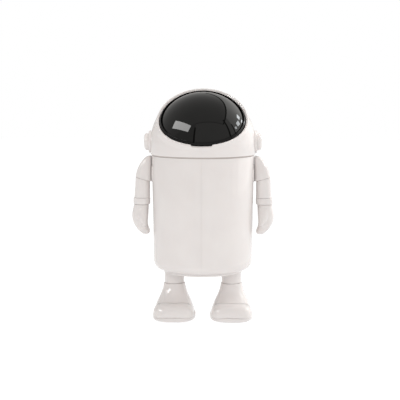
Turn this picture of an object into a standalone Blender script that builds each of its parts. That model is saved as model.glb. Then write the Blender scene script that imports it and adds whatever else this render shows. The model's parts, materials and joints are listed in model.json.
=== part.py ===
"""Astronaut waste bin: a round body on booted legs, swinging arms, and a helmet lid with a rocking visor.

The object faces -Y and +Z is up. The origin is on the floor, under the body's axis. Lengths are in metres.
"""

import math

import bmesh
import bpy
from mathutils import Matrix, Vector

MM = 0.001
FIT_GAP = 0.3 * MM
RUNNING_GAP = 0.08 * MM

# Driving dimensions
BODY_TOP_R = 100.9 * MM
BODY_BOTTOM_R = 97.0 * MM
BODY_BOTTOM_Z = 97.3 * MM
BODY_TOP_Z = 324.3 * MM
BODY_WALL = 2.8 * MM
BODY_FILLET = 20.0 * MM

HELMET_R = 104.0 * MM
HELMET_WALL = 3.0 * MM
HELMET_CENTRE_Z = 349.0 * MM
HELMET_BOTTOM_Z = 326.8 * MM

# The visor's opening is an elliptical cut along a line that rises forwards from the helmet's centre
OPENING_TILT = math.radians(52.5)
OPENING_HALF_WIDTH = 84.8 * MM
OPENING_HALF_HEIGHT = 78.2 * MM
OPENING_SHIFT = -3.0 * MM
RIM_WIDTH = 4.3 * MM
RIM_LIP_FRONT_R = 106.0 * MM
RIM_LIP_TOP_R = 108.2 * MM
RIM_INNER_R = 103.7 * MM
RIM_CREST_ARC = 7.0 * MM
RIM_SEAT_R = 97.9 * MM
RIM_SEAT_DEPTH = 6.0 * MM
RIM_SEAT_EDGE = 0.25 * MM
FLANGE_BASE_R = 95.5 * MM
FLANGE_GAP = 1.1 * MM
FLANGE_EDGE = 0.6 * MM
FLANGE_DEPTH = 4.5 * MM
FLARE_FRONT = 6.0 * MM
FLARE_TOP = 12.0 * MM
FLARE_GAP = 0.7 * MM
FLARE_EDGE = 0.5 * MM
RIM_FRONT_SINE = 0.7
CUT_HEIGHTS = (20.0 * MM, 120.0 * MM)
NOTCH_HALF_WIDTH = 20.5 * MM
NOTCH_CORNERS = ((-99.5, 351.0), (-112.0, 343.8), (-112.0, 359.0), (-99.5, 359.0))

VISOR_GAP = 1.2 * MM
VISOR_R = 103.3 * MM
BORDER_WIDTH = 2.9 * MM
BORDER_BASE_R = 98.3 * MM
DOME_R = 100.6 * MM
DOME_INNER_R = 98.6 * MM

HINGE_UP = 20.0 * MM
HINGE_OUT = 64.0 * MM
HINGE_HALF_SPAN = 66.5 * MM
HINGE_PIN_R = 2.5 * MM
HINGE_PIN_INNER_X = 53.2 * MM
RIB_INNER_X = 54.0 * MM
RIB_OUTER_X = 58.0 * MM
RIB_OUTER_R = 99.4 * MM
RIB_INNER_R = 93.0 * MM
RIB_FRONT = -30.0 * MM
RIB_BACK = 41.0 * MM
RIB_EYE_R = 5.5 * MM
NECK_HEIGHT = 11.0 * MM
NECK_INSET = 0.4 * MM
BEARING_CLEAR_R = 94.2 * MM

EAR_BASE_R = 22.0 * MM
EAR_CAP_R = 16.8 * MM
EAR_BASE_X = 107.0 * MM
EAR_CAP_X = 116.4 * MM
EAR_Z = 351.0 * MM
EAR_ROOT_X = 88.0 * MM
EAR_STUB_R = 6.0 * MM
EAR_STUB_X = 97.0 * MM
EAR_HOLE_X = (90.0 * MM, 110.0 * MM)

SHOULDER_Z = 289.0 * MM
ARM_PIVOT_R = 4.0 * MM
ARM_PIVOT_INNER_X = 93.4 * MM
ARM_CLIP_R = 6.5 * MM
ARM_INNER_X = 101.6 * MM
BOSS_R = 18.0 * MM
BOSS_ROOT_X = 98.1 * MM
SEAM_SLOPE = 0.26
SEAM_X = 106.0 * MM
SEAM_Z = 274.0 * MM
CUFF_TOP = 240.0
CUFF_BOTTOM = 227.0

BUCKET_LEDGE_Z = 303.0 * MM
BUCKET_LEDGE_R = 93.0 * MM
BODY_FLOOR_Z = BODY_BOTTOM_Z + BODY_WALL
SCREW_R = 2.0 * MM
SCREW_HEAD_R = 4.0 * MM
SCREW_HEAD_HEIGHT = 2.4 * MM
SCREW_Y = 10.0 * MM
SCREW_TIP_Z = 80.0 * MM
HOLE_REACH = 8.0 * MM

LEG_X = 57.0 * MM
LEG_R = 19.3 * MM
BASE_R = 78.5 * MM
BASE_THICKNESS = 4.0 * MM
BOOT_TOP_Z = 69.0 * MM
SOLE_Z = 1.2 * MM
SOLE_THICKNESS = 8.8 * MM
SOLE_TOP_Z = SOLE_Z + SOLE_THICKNESS
TOE_FRONT_Y = -70.0
TOE_BACK_Y = -30.0
HEEL_Y = 45.0
BOOT_WALL = 2.6
BOOT_HOLLOW_TOP = 55.0
BOOT_HOLLOW_FLOOR = 6.0
SOCKET_BOTTOM_Z = 40.0 * MM
PLUG_INSET = 3.0 * MM
PLUG_DEPTH = 12.0 * MM
TOE_GAP = 0.35
TOE_ARCH_POWER = 0.68
SOLE_SQUARENESS = 2.7
SOLE_HALF_WIDTH = 42.2
PAD_INSET = 9.0

SIDES = (("left", 1), ("right", -1))
ARM_PIECES = ("shoulder", "arm_pivot", "arm_clip", "sleeve", "cuff", "glove")

SIDES_LARGE = 40
SIDES_MEDIUM = 24
SIDES_SMALL = 16
SIDES_SCREW = 12
BALL_SIDES = 64
BALL_RINGS = 32
RING_POINTS = 20
HELMET_STEPS = 9
SMOOTH_ANGLE = math.radians(32)
PARTS_NAME = "astronaut_waste_bin"
CUTTERS_NAME = "cutters"

WHITE = ("gloss_white_plastic", (0.80, 0.78, 0.76), 0.18, 0.0)
INNER_GREY = ("grey_bucket_plastic", (0.42, 0.43, 0.44), 0.45, 0.0)
RING_GREY = ("seam_grey_plastic", (0.45, 0.42, 0.40), 0.5, 0.0)
BLACK_GLOSS = ("gloss_black_plastic", (0.012, 0.012, 0.012), 0.05, 0.0)
BLACK_FRAME = ("satin_black_plastic", (0.014, 0.014, 0.014), 0.3, 0.0)
RUBBER = ("black_rubber", (0.03, 0.03, 0.03), 0.8, 0.0)
STEEL = ("zinc_steel", (0.56, 0.56, 0.58), 0.3, 1.0)


def clear_scene():
    for old in list(bpy.data.objects):
        bpy.data.objects.remove(old)


def new_collection(name):
    collection = bpy.data.collections.new(name)
    bpy.context.scene.collection.children.link(collection)
    return collection


def make_material(name, finish):
    colour, roughness, metallic = finish[1:]
    material = bpy.data.materials.new(f"{name}_{finish[0]}")
    material.use_nodes = True
    shader = material.node_tree.nodes["Principled BSDF"]
    shader.inputs["Base Color"].default_value = (*colour, 1.0)
    shader.inputs["Roughness"].default_value = roughness
    shader.inputs["Metallic"].default_value = metallic
    return material


def shade_round(mesh):
    mesh.shade_smooth()
    mesh.set_sharp_from_angle(angle=SMOOTH_ANGLE)


def add_object(name, mesh, collection, finish=None):
    part = bpy.data.objects.new(name, mesh)
    collection.objects.link(part)
    if finish:
        mesh.materials.append(make_material(name, finish))
    return part


def add_piece(name, bm, finish):
    """Store a finished bmesh as one named part."""
    bmesh.ops.recalc_face_normals(bm, faces=bm.faces)
    mesh = bpy.data.meshes.new(name)
    bm.to_mesh(mesh)
    bm.free()
    shade_round(mesh)
    return add_object(name, mesh, PARTS, finish)


def add_cutter(name, bm):
    bmesh.ops.recalc_face_normals(bm, faces=bm.faces)
    mesh = bpy.data.meshes.new(name)
    bm.to_mesh(mesh)
    bm.free()
    cutter = add_object(name, mesh, CUTTERS)
    hide_cutter(cutter)
    return cutter


def hide_cutter(cutter):
    cutter.hide_render = True
    cutter.display_type = "WIRE"


def combine(part, other, operation):
    modifier = part.modifiers.new(f"{operation.lower()}_{other.name}", "BOOLEAN")
    modifier.operation = operation
    modifier.solver = "EXACT"
    modifier.object = other


def arc(centre, radius, start_deg, end_deg, steps):
    """Points (r, z) on an arc, both ends included."""
    points = []
    for step in range(steps + 1):
        angle = math.radians(start_deg + (end_deg - start_deg) * step / steps)
        points.append((centre[0] + radius * math.cos(angle), centre[1] + radius * math.sin(angle)))
    return points


def turned(name, profile, finish=None, sides=SIDES_LARGE):
    """Turn a profile of (r, z) points about Z.

    A profile whose two ends lie on the axis is left open, and any other is closed into a ring.
    """
    bm = bmesh.new()
    verts = [bm.verts.new((r, 0.0, z)) for r, z in profile]
    for first, second in zip(verts, verts[1:]):
        bm.edges.new((first, second))
    if profile[0][0] > 0.0:
        bm.edges.new((verts[-1], verts[0]))
    mesh = bpy.data.meshes.new(name)
    bm.to_mesh(mesh)
    bm.free()
    part = add_object(name, mesh, PARTS if finish else CUTTERS, finish)
    screw = part.modifiers.new("turn", "SCREW")
    screw.steps = sides
    screw.render_steps = sides
    screw.use_merge_vertices = True
    screw.merge_threshold = 0.00001
    screw.use_smooth_shade = True
    if not finish:
        hide_cutter(part)
    return part


def rod(name, radius, start, end, finish=None, sides=SIDES_SMALL):
    """A round bar between two points."""
    start = Vector(start)
    end = Vector(end)
    bm = bmesh.new()
    length = (end - start).length
    bmesh.ops.create_cone(bm, cap_ends=True, segments=sides, radius1=radius, radius2=radius, depth=length)
    turn = Vector((0.0, 0.0, 1.0)).rotation_difference(end - start).to_matrix().to_4x4()
    bmesh.ops.transform(bm, matrix=Matrix.Translation((start + end) / 2) @ turn, verts=bm.verts)
    if finish:
        return add_piece(name, bm, finish)
    return add_cutter(name, bm)


def block(name, low, high, finish=None, matrix=None):
    """A box between two corners, placed in another frame if one is given."""
    low = Vector(low)
    high = Vector(high)
    size = high - low
    bm = bmesh.new()
    bmesh.ops.create_cube(bm, size=1.0)
    place = Matrix.Translation((low + high) / 2) @ Matrix.Diagonal((*size, 1.0))
    bmesh.ops.transform(bm, matrix=(matrix or Matrix.Identity(4)) @ place, verts=bm.verts)
    if finish:
        return add_piece(name, bm, finish)
    return add_cutter(name, bm)


def loft_mesh(rings):
    """Skin a run of equal rings and cap its two ends."""
    bm = bmesh.new()
    rows = [[bm.verts.new(point) for point in ring] for ring in rings]
    count = len(rows[0])
    for lower, upper in zip(rows, rows[1:]):
        for index in range(count):
            following = (index + 1) % count
            bm.faces.new((lower[index], lower[following], upper[following], upper[index]))
    bm.faces.new(rows[0])
    bm.faces.new(rows[-1])
    return bm


def oval(x_range, y_range, z, squareness=2.6, tilt=0.0, tilt_x=0.0):
    """A rounded-box ring in a level plane, or in one that rises with x by the tilt about tilt_x."""
    centre_x = (x_range[0] + x_range[1]) / 2
    centre_y = (y_range[0] + y_range[1]) / 2
    half_x = (x_range[1] - x_range[0]) / 2
    half_y = (y_range[1] - y_range[0]) / 2
    power = 2.0 / squareness
    ring = []
    for index in range(RING_POINTS):
        angle = 2.0 * math.pi * index / RING_POINTS
        cosine = math.cos(angle)
        sine = math.sin(angle)
        x = centre_x + half_x * math.copysign(abs(cosine) ** power, cosine)
        y = centre_y + half_y * math.copysign(abs(sine) ** power, sine)
        ring.append(Vector((x, y, z + tilt * (x - tilt_x))))
    return ring


def mirrored(rings, side):
    """Rings built for the right-hand side (+X), moved to the given side."""
    return [[Vector((side * point.x, point.y, point.z)) for point in ring] for ring in rings]


def mm_rings(sections, squareness=2.6):
    """Level rings from (x inner, x outer, y front, y back, z) sections in millimetres."""
    rings = []
    for inner, outer, front, back, z in sections:
        rings.append(oval((inner * MM, outer * MM), (front * MM, back * MM), z * MM, squareness))
    return rings


# ---------------------------------------------------------------- visor opening's frame

def opening_matrix():
    """Columns are across, up the face, and out of the opening. The origin is the helmet's centre."""
    up = Vector((0.0, math.sin(OPENING_TILT), math.cos(OPENING_TILT)))
    out = Vector((0.0, -math.cos(OPENING_TILT), math.sin(OPENING_TILT)))
    matrix = Matrix.Identity(4)
    matrix.col[1] = (*up, 0.0)
    matrix.col[2] = (*out, 0.0)
    matrix.col[3] = (0.0, 0.0, HELMET_CENTRE_Z, 1.0)
    return matrix


def on_opening(growth, angle, radius):
    """A point on a sphere about the helmet's centre, on the opening's outline grown sideways."""
    x = (OPENING_HALF_WIDTH + growth) * math.cos(angle)
    up = OPENING_SHIFT + (OPENING_HALF_HEIGHT + growth) * math.sin(angle)
    out = math.sqrt(radius * radius - x * x - up * up)
    return Vector((x, up, out))


def opening_ring(section):
    """A closed ring round the opening; section gives each angle's (growth, radius) corners."""
    loops = []
    for index in range(SIDES_LARGE):
        angle = 2.0 * math.pi * index / SIDES_LARGE
        loops.append([OPENING @ on_opening(growth, angle, radius) for growth, radius in section(angle)])
    bm = bmesh.new()
    rows = [[bm.verts.new(point) for point in loop] for loop in loops]
    corners = len(rows[0])
    for index, row in enumerate(rows):
        following = rows[(index + 1) % len(rows)]
        for corner in range(corners):
            other = (corner + 1) % corners
            bm.faces.new((row[corner], row[other], following[other], following[corner]))
    return bm


def opening_prism(name, growth, low, high):
    """The opening's outline, grown sideways, drawn out between two heights along its own axis."""
    rings = []
    for out in (low, high):
        ring = []
        for index in range(SIDES_LARGE):
            angle = 2.0 * math.pi * index / SIDES_LARGE
            x = (OPENING_HALF_WIDTH + growth) * math.cos(angle)
            up = OPENING_SHIFT + (OPENING_HALF_HEIGHT + growth) * math.sin(angle)
            ring.append(OPENING @ Vector((x, up, out)))
        rings.append(ring)
    return add_cutter(name, loft_mesh(rings))


# ---------------------------------------------------------------- bin body

def body_radius(z):
    """The body's outer radius at a height: it widens evenly from bottom to top."""
    share = (z - BODY_BOTTOM_Z) / (BODY_TOP_Z - BODY_BOTTOM_Z)
    return BODY_BOTTOM_R + (BODY_TOP_R - BODY_BOTTOM_R) * share


def leg_screw_places():
    """(name, x, y) of each screw that holds a leg: two in each."""
    places = []
    for side_name, side in SIDES:
        places.append((f"{side_name}_leg_front_screw", side * LEG_X, -SCREW_Y))
        places.append((f"{side_name}_leg_back_screw", side * LEG_X, SCREW_Y))
    return places


def drill_leg_screws(part, low, high):
    for name, x, y in leg_screw_places():
        ends = ((x, y, low), (x, y, high))
        hole = rod(f"hole_{name}_{part.name}", SCREW_R + FIT_GAP, *ends, None, SIDES_SCREW)
        combine(part, hole, "DIFFERENCE")


def make_body_shell():
    fillet_z = BODY_BOTTOM_Z + BODY_FILLET
    inner_fillet = BODY_FILLET - BODY_WALL
    ledge_thickness = 2.5 * MM
    ledge_root_z = BUCKET_LEDGE_Z - 7.0 * MM
    edge = 0.8 * MM
    profile = [(0.0, BODY_FLOOR_Z)]
    profile += arc((body_radius(fillet_z) - BODY_FILLET, fillet_z), inner_fillet, -90, 0, 3)
    profile.append((body_radius(ledge_root_z) - BODY_WALL, ledge_root_z))
    profile.append((BUCKET_LEDGE_R, BUCKET_LEDGE_Z - ledge_thickness))
    profile.append((BUCKET_LEDGE_R, BUCKET_LEDGE_Z))
    profile.append((body_radius(BUCKET_LEDGE_Z) - BODY_WALL, BUCKET_LEDGE_Z))
    profile.append((BODY_TOP_R - BODY_WALL, BODY_TOP_Z))
    profile.append((BODY_TOP_R - edge, BODY_TOP_Z))
    profile.append((BODY_TOP_R, BODY_TOP_Z - edge))
    profile += arc((body_radius(fillet_z) - BODY_FILLET, fillet_z), BODY_FILLET, 0, -90, 5)
    profile.append((0.0, BODY_BOTTOM_Z))
    shell = turned("bin_body_shell", profile, WHITE)
    for side_name, side in SIDES:
        root = (side * BOSS_ROOT_X, 0.0, SHOULDER_Z)
        face = (side * (ARM_INNER_X - FIT_GAP), 0.0, SHOULDER_Z)
        boss = rod(f"{side_name}_shoulder_boss", BOSS_R, root, face, None, SIDES_MEDIUM)
        combine(shell, boss, "UNION")
        near = (side * (BODY_BOTTOM_R - HOLE_REACH), 0.0, SHOULDER_Z)
        far = (side * (BODY_TOP_R + HOLE_REACH), 0.0, SHOULDER_Z)
        hole = rod(f"{side_name}_shoulder_hole", ARM_PIVOT_R + RUNNING_GAP, near, far)
        combine(shell, hole, "DIFFERENCE")
    drill_leg_screws(shell, BODY_BOTTOM_Z - HOLE_REACH, BODY_FLOOR_Z + HOLE_REACH)


def make_base_plate():
    top = BODY_BOTTOM_Z - FIT_GAP
    bottom = top - BASE_THICKNESS
    edge = 1.0 * MM
    profile = [(0.0, top), (BASE_R, top), (BASE_R, bottom + edge), (BASE_R - edge, bottom), (0.0, bottom)]
    plate = turned("base_plate", profile, WHITE)
    drill_leg_screws(plate, bottom - HOLE_REACH, top + HOLE_REACH)


def make_inner_bucket():
    rim_top = BUCKET_LEDGE_Z + 3.3 * MM
    rim_bottom = BUCKET_LEDGE_Z + FIT_GAP
    rim_r = 97.2 * MM
    top_r = 92.0 * MM
    bottom_r = 78.0 * MM
    wall = 2.0 * MM
    bottom_z = BODY_FLOOR_Z + 5.0 * MM
    fillet = 8.0 * MM
    profile = [(0.0, bottom_z + wall)]
    profile += arc((bottom_r - fillet, bottom_z + fillet), fillet - wall, -90, 0, 2)
    profile.append((top_r - wall, rim_top))
    profile.append((rim_r, rim_top))
    profile.append((rim_r, rim_bottom))
    profile.append((top_r, rim_bottom))
    profile += arc((bottom_r - fillet, bottom_z + fillet), fillet, 0, -90, 2)
    profile.append((0.0, bottom_z))
    turned("inner_bucket", profile, INNER_GREY)


def make_leg_screws():
    head_bottom = BODY_FLOOR_Z + FIT_GAP
    for name, x, y in leg_screw_places():
        shank_top = (x, y, head_bottom + SCREW_HEAD_HEIGHT / 2)
        screw = rod(name, SCREW_R, (x, y, SCREW_TIP_Z), shank_top, STEEL, SIDES_SCREW)
        head_top = head_bottom + SCREW_HEAD_HEIGHT
        head = rod(f"head_{name}", SCREW_HEAD_R, (x, y, head_bottom), (x, y, head_top))
        combine(screw, head, "UNION")


# ---------------------------------------------------------------- legs and boots

def make_leg(side_name, side):
    """A short round leg whose lower end plugs into the boot."""
    top = BODY_BOTTOM_Z - 2 * FIT_GAP - BASE_THICKNESS
    boot_line = BOOT_TOP_Z + FIT_GAP
    plug_bottom = BOOT_TOP_Z - PLUG_DEPTH
    plug_r = LEG_R - PLUG_INSET
    profile = [(0.0, top), (LEG_R, top), (LEG_R, boot_line), (plug_r, boot_line), (plug_r, plug_bottom)]
    profile.append((0.0, plug_bottom))
    leg = turned(f"{side_name}_leg", profile, WHITE, SIDES_MEDIUM)
    leg.location.x = side * LEG_X
    drill_leg_screws_local(leg, side_name, side, top)


def drill_leg_screws_local(leg, side_name, side, top):
    for place, y in (("front", -SCREW_Y), ("back", SCREW_Y)):
        start = (side * LEG_X, y, SCREW_TIP_Z - FIT_GAP)
        end = (side * LEG_X, y, top + HOLE_REACH)
        combine(leg, rod(f"{side_name}_leg_{place}_hole", SCREW_R + FIT_GAP, start, end), "DIFFERENCE")


def foot_sections(inset):
    """(half width, front y, back y, z) from the sole up, in millimetres, drawn in by the inset."""
    sections = [
        (40.0, TOE_FRONT_Y + 2.0, HEEL_Y, 10.3),
        (40.3, TOE_FRONT_Y + 1.0, HEEL_Y, 16.0),
        (36.5, TOE_FRONT_Y + 6.0, 42.0, 27.0),
        (32.0, TOE_FRONT_Y + 22.0, 37.0, 37.0),
        (27.5, -34.0, 31.0, 46.0),
        (23.5, -25.5, 25.5, 57.0),
        (20.8, -20.8, 20.8, 69.0),
    ]
    return [(half - inset, front + inset, back - inset, z) for half, front, back, z in sections]


def foot_loft(sections, side, squareness=2.3):
    rings = []
    for half, front, back, z in sections:
        x_range = (side * LEG_X - half * MM, side * LEG_X + half * MM)
        rings.append(oval(x_range, (front * MM, back * MM), z * MM, squareness))
    return loft_mesh(rings)


def toe_cap_rings(side, growth):
    """Arched rings from the cap's back edge to its nose; growth swells them for a clearance cutter."""
    sections = [(TOE_BACK_Y, 40.0, 36.6), (-44.0, 40.0, 36.6), (-58.0, 37.5, 34.2), (-66.0, 31.5, 29.4)]
    sections.append((TOE_FRONT_Y, 23.0, 22.0))
    rings = []
    floor = SOLE_TOP_Z + FIT_GAP - growth * MM
    steps = 12
    for y, half, top in sections:
        ring = []
        for step in range(steps + 1):
            angle = math.pi * step / steps
            reach = math.copysign(abs(math.cos(angle)) ** TOE_ARCH_POWER, math.cos(angle))
            rise = math.sin(angle) ** TOE_ARCH_POWER
            x = side * LEG_X + (half + growth) * MM * reach
            z = floor + (top * MM + growth * MM - floor) * rise
            ring.append(Vector((x, (y - growth) * MM, z)))
        rings.append(ring)
    if growth:
        rings.insert(0, [point + Vector((0.0, 2 * growth * MM, 0.0)) for point in rings[0]])
    return rings


def make_boot(side_name, side):
    boot = add_piece(f"{side_name}_boot", foot_loft(foot_sections(0.0), side), WHITE)
    hollow_sections = foot_sections(BOOT_WALL)
    hollow_sections[0] = (*hollow_sections[0][:3], BOOT_HOLLOW_FLOOR)
    hollow_sections[-1] = (*hollow_sections[-1][:3], BOOT_HOLLOW_TOP)
    hollow_sections = [section for section in hollow_sections if section[3] <= BOOT_HOLLOW_TOP]
    combine(boot, add_cutter(f"{side_name}_boot_hollow", foot_loft(hollow_sections, side)), "DIFFERENCE")
    plug_r = LEG_R - PLUG_INSET + FIT_GAP
    low = (side * LEG_X, 0.0, SOCKET_BOTTOM_Z)
    high = (side * LEG_X, 0.0, BOOT_TOP_Z + HOLE_REACH)
    combine(boot, rod(f"{side_name}_boot_socket", plug_r, low, high, None, SIDES_MEDIUM), "DIFFERENCE")
    recess = add_cutter(f"{side_name}_toe_recess", loft_mesh(toe_cap_rings(side, TOE_GAP)))
    combine(boot, recess, "DIFFERENCE")


def make_toe_cap(side_name, side):
    add_piece(f"{side_name}_toe_cap", loft_mesh(toe_cap_rings(side, 0.0)), WHITE)


def make_sole(side_name, side):
    """The welted sole slab under the boot."""
    edge = 1.5
    base = SOLE_Z / MM
    top = SOLE_TOP_Z / MM
    front = TOE_FRONT_Y - 1.0
    back = HEEL_Y + 1.0
    sections = [
        (SOLE_HALF_WIDTH - 2 * edge, front + 2 * edge, back - 2 * edge, base),
        (SOLE_HALF_WIDTH, front, back, base + 2 * edge),
        (SOLE_HALF_WIDTH, front, back, top - edge),
        (SOLE_HALF_WIDTH - edge, front + edge, back - edge, top),
    ]
    add_piece(f"{side_name}_sole", foot_loft(sections, side, SOLE_SQUARENESS), WHITE)


def make_foot_pad(side_name, side):
    """The thin rubber tread that stands on the floor."""
    half = SOLE_HALF_WIDTH - PAD_INSET
    front = TOE_FRONT_Y + PAD_INSET
    back = HEEL_Y - PAD_INSET
    sections = [(half, front, back, 0.0), (half, front, back, (SOLE_Z - FIT_GAP) / MM)]
    add_piece(f"{side_name}_foot_pad", foot_loft(sections, side, SOLE_SQUARENESS), RUBBER)


# ---------------------------------------------------------------- helmet lid

def helmet_profile(outer_growth, wall):
    """The helmet's half outline: a dome that becomes a straight skirt below its centre."""
    outer = HELMET_R + outer_growth
    centre = (0.0, HELMET_CENTRE_Z)
    profile = arc(centre, outer, 90, 0, HELMET_STEPS)
    profile.append((outer, HELMET_BOTTOM_Z))
    if wall:
        profile.append((outer - wall, HELMET_BOTTOM_Z))
        profile += arc(centre, outer - wall, 0, 90, HELMET_STEPS)
        profile[-1] = (0.0, HELMET_CENTRE_Z + outer - wall)
    else:
        profile.append((0.0, HELMET_BOTTOM_Z))
    profile[0] = (0.0, HELMET_CENTRE_Z + outer)
    return profile


def make_helmet_shell():
    helmet = turned("helmet_shell", helmet_profile(0.0, HELMET_WALL), WHITE)
    opening = opening_prism("visor_opening", RIM_WIDTH + FIT_GAP, *CUT_HEIGHTS)
    combine(helmet, opening, "DIFFERENCE")
    for side_name, side in SIDES:
        near = (side * EAR_HOLE_X[0], 0.0, EAR_Z)
        far = (side * EAR_HOLE_X[1], 0.0, EAR_Z)
        combine(helmet, rod(f"{side_name}_ear_hole", EAR_STUB_R + FIT_GAP, near, far), "DIFFERENCE")


def skirt_radius(growth, angle, radius):
    """Distance from the helmet's centre to its surface, which is a straight skirt below the centre."""
    drop = max(0.0, HELMET_CENTRE_Z - (OPENING @ on_opening(growth, angle, radius)).z)
    return math.hypot(radius, drop)


def smooth_share(value):
    """Ease from 0 to 1."""
    value = min(1.0, max(0.0, value))
    return value * value * (3.0 - 2.0 * value)


def rim_section(angle):
    """The rim's corners: a face up to a crest, a flare, a flange behind the wall, and a seat in front."""
    front_share = min(1.0, max(0.0, -math.sin(angle) / RIM_FRONT_SINE))
    seat = RIM_SEAT_EDGE + (RIM_SEAT_DEPTH - RIM_SEAT_EDGE) * smooth_share(front_share)
    top_share = smooth_share((math.sin(angle) + 1.0) / 2.0)
    lip_r = RIM_LIP_FRONT_R + (RIM_LIP_TOP_R - RIM_LIP_FRONT_R) * top_share
    flare_arc = FLARE_FRONT + (FLARE_TOP - FLARE_FRONT) * top_share
    steepness = on_opening(RIM_WIDTH, angle, HELMET_R).z / HELMET_R
    flare = RIM_WIDTH + flare_arc * steepness
    flange = RIM_WIDTH + FLANGE_EDGE + FLANGE_DEPTH * (1.0 - front_share) * steepness
    flange_top = HELMET_R - HELMET_WALL - FLANGE_GAP
    under = HELMET_R + FLARE_GAP
    flare_under = skirt_radius(flare, angle, under)
    return [
        (0.0, RIM_INNER_R),
        (0.0, RIM_SEAT_R),
        (-seat, RIM_SEAT_R),
        (-seat, FLANGE_BASE_R),
        (flange, FLANGE_BASE_R),
        (flange, flange_top),
        (RIM_WIDTH, flange_top),
        (RIM_WIDTH, skirt_radius(RIM_WIDTH, angle, under)),
        (flare, flare_under),
        (flare, flare_under + FLARE_EDGE),
        (RIM_CREST_ARC * steepness, lip_r),
    ]


def make_visor_rim():
    """The raised white rim, with a notch in front where a finger lifts the visor."""
    rim = add_piece("visor_rim", opening_ring(rim_section), WHITE)
    rings = []
    for x in (-NOTCH_HALF_WIDTH, NOTCH_HALF_WIDTH):
        rings.append([Vector((x, y * MM, z * MM)) for y, z in NOTCH_CORNERS])
    combine(rim, add_cutter("finger_notch", loft_mesh(rings)), "DIFFERENCE")


def make_locating_ring():
    """The grey ring under the helmet: a spigot that drops into the body, and a flange on the body's rim."""
    flange_r = HELMET_R - HELMET_WALL - FIT_GAP
    flange_top = HELMET_BOTTOM_Z + 1.2 * MM
    flange_bottom = BODY_TOP_Z + FIT_GAP
    spigot_r = BODY_TOP_R - BODY_WALL - 0.5 * MM
    spigot_bottom = BUCKET_LEDGE_Z + 8.0 * MM
    wall = 2.0 * MM
    profile = [
        (flange_r, flange_top),
        (flange_r, flange_bottom),
        (spigot_r, flange_bottom),
        (spigot_r - 0.4 * MM, spigot_bottom),
        (spigot_r - wall, spigot_bottom),
        (spigot_r - wall, flange_top),
    ]
    turned("lid_locating_ring", profile, RING_GREY)


def make_ear(side_name, side):
    """A round base that follows the helmet's wall, and a domed cap pressed into it."""
    base = rod(
        f"{side_name}_ear_base", EAR_BASE_R,
        (side * EAR_ROOT_X, 0.0, EAR_Z), (side * EAR_BASE_X, 0.0, EAR_Z), WHITE, SIDES_MEDIUM,
    )
    wall_cutter = turned(f"{side_name}_ear_base_seat", helmet_profile(FIT_GAP, 0.0))
    combine(base, wall_cutter, "DIFFERENCE")
    stub_inner = (side * EAR_STUB_X, 0.0, EAR_Z)
    stub_outer = (side * (EAR_BASE_X - 1.0 * MM), 0.0, EAR_Z)
    combine(base, rod(f"{side_name}_ear_stub", EAR_STUB_R, stub_inner, stub_outer), "UNION")
    socket_r = 3.0 * MM
    socket_x = EAR_BASE_X - 5.0 * MM
    socket_inner = (side * socket_x, 0.0, EAR_Z)
    socket_outer = (side * (EAR_BASE_X + HOLE_REACH), 0.0, EAR_Z)
    socket = rod(f"{side_name}_ear_socket", socket_r + FIT_GAP, socket_inner, socket_outer)
    combine(base, socket, "DIFFERENCE")

    start = EAR_BASE_X + FIT_GAP
    rounding = 4.5 * MM
    height = EAR_CAP_X - start
    pin_length = 4.0 * MM
    profile = [(0.0, height), (EAR_CAP_R - rounding, height)]
    profile += arc((EAR_CAP_R - rounding, height - rounding), rounding, 67.5, 0, 3)
    profile.append((EAR_CAP_R, 0.0))
    profile.append((socket_r, 0.0))
    profile.append((socket_r, -pin_length))
    profile.append((0.0, -pin_length))
    cap = turned(f"{side_name}_ear_cap", profile, WHITE, SIDES_MEDIUM)
    cap.location = (side * start, 0.0, EAR_Z)
    cap.rotation_euler.y = side * math.pi / 2


def make_visor_bearing(side_name, side):
    """A bracket on the rim's flange that carries one of the visor's pins."""
    plate_inner = 62.0 * MM
    plate_outer = 65.0 * MM
    foot_inner = 63.0 * MM
    foot_outer = 92.0 * MM
    foot_up = (-12.0 * MM, 8.0 * MM)
    foot_out = (32.0 * MM, 42.0 * MM)
    eye_r = 5.4 * MM
    bearing = block(
        f"{side_name}_visor_bearing",
        (min(side * foot_inner, side * foot_outer), foot_up[0], foot_out[0]),
        (max(side * foot_inner, side * foot_outer), foot_up[1], foot_out[1]),
        WHITE, OPENING,
    )
    inside = add_ball(f"{side_name}_bearing_reach", BEARING_CLEAR_R)
    combine(bearing, inside, "INTERSECT")
    web_corners = [(-12.0, 36.0), (2.0, 36.0), (20.0, 57.5), (20.0, 67.0), (13.0, 66.0)]
    rings = []
    for x in (plate_inner, plate_outer):
        rings.append([OPENING @ Vector((side * x, up * MM, out * MM)) for up, out in web_corners])
    combine(bearing, add_cutter(f"{side_name}_bearing_web", loft_mesh(rings)), "UNION")
    eye_face = 0.4 * MM
    inner = OPENING @ Vector((side * (plate_inner - eye_face), HINGE_UP, HINGE_OUT))
    outer = OPENING @ Vector((side * (plate_outer + eye_face), HINGE_UP, HINGE_OUT))
    combine(bearing, rod(f"{side_name}_bearing_eye", eye_r, inner, outer), "UNION")
    reach = Vector((side * HOLE_REACH, 0.0, 0.0))
    hole = rod(f"{side_name}_bearing_hole", HINGE_PIN_R + RUNNING_GAP, inner - reach, outer + reach)
    combine(bearing, hole, "DIFFERENCE")


def add_ball(name, radius):
    """A ball about the helmet's centre, used to trim what must stay inside the helmet."""
    bm = bmesh.new()
    bmesh.ops.create_uvsphere(bm, u_segments=BALL_SIDES, v_segments=BALL_RINGS, radius=radius)
    bmesh.ops.transform(bm, matrix=Matrix.Translation((0.0, 0.0, HELMET_CENTRE_Z)), verts=bm.verts)
    return add_cutter(name, bm)


# ---------------------------------------------------------------- visor

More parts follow.
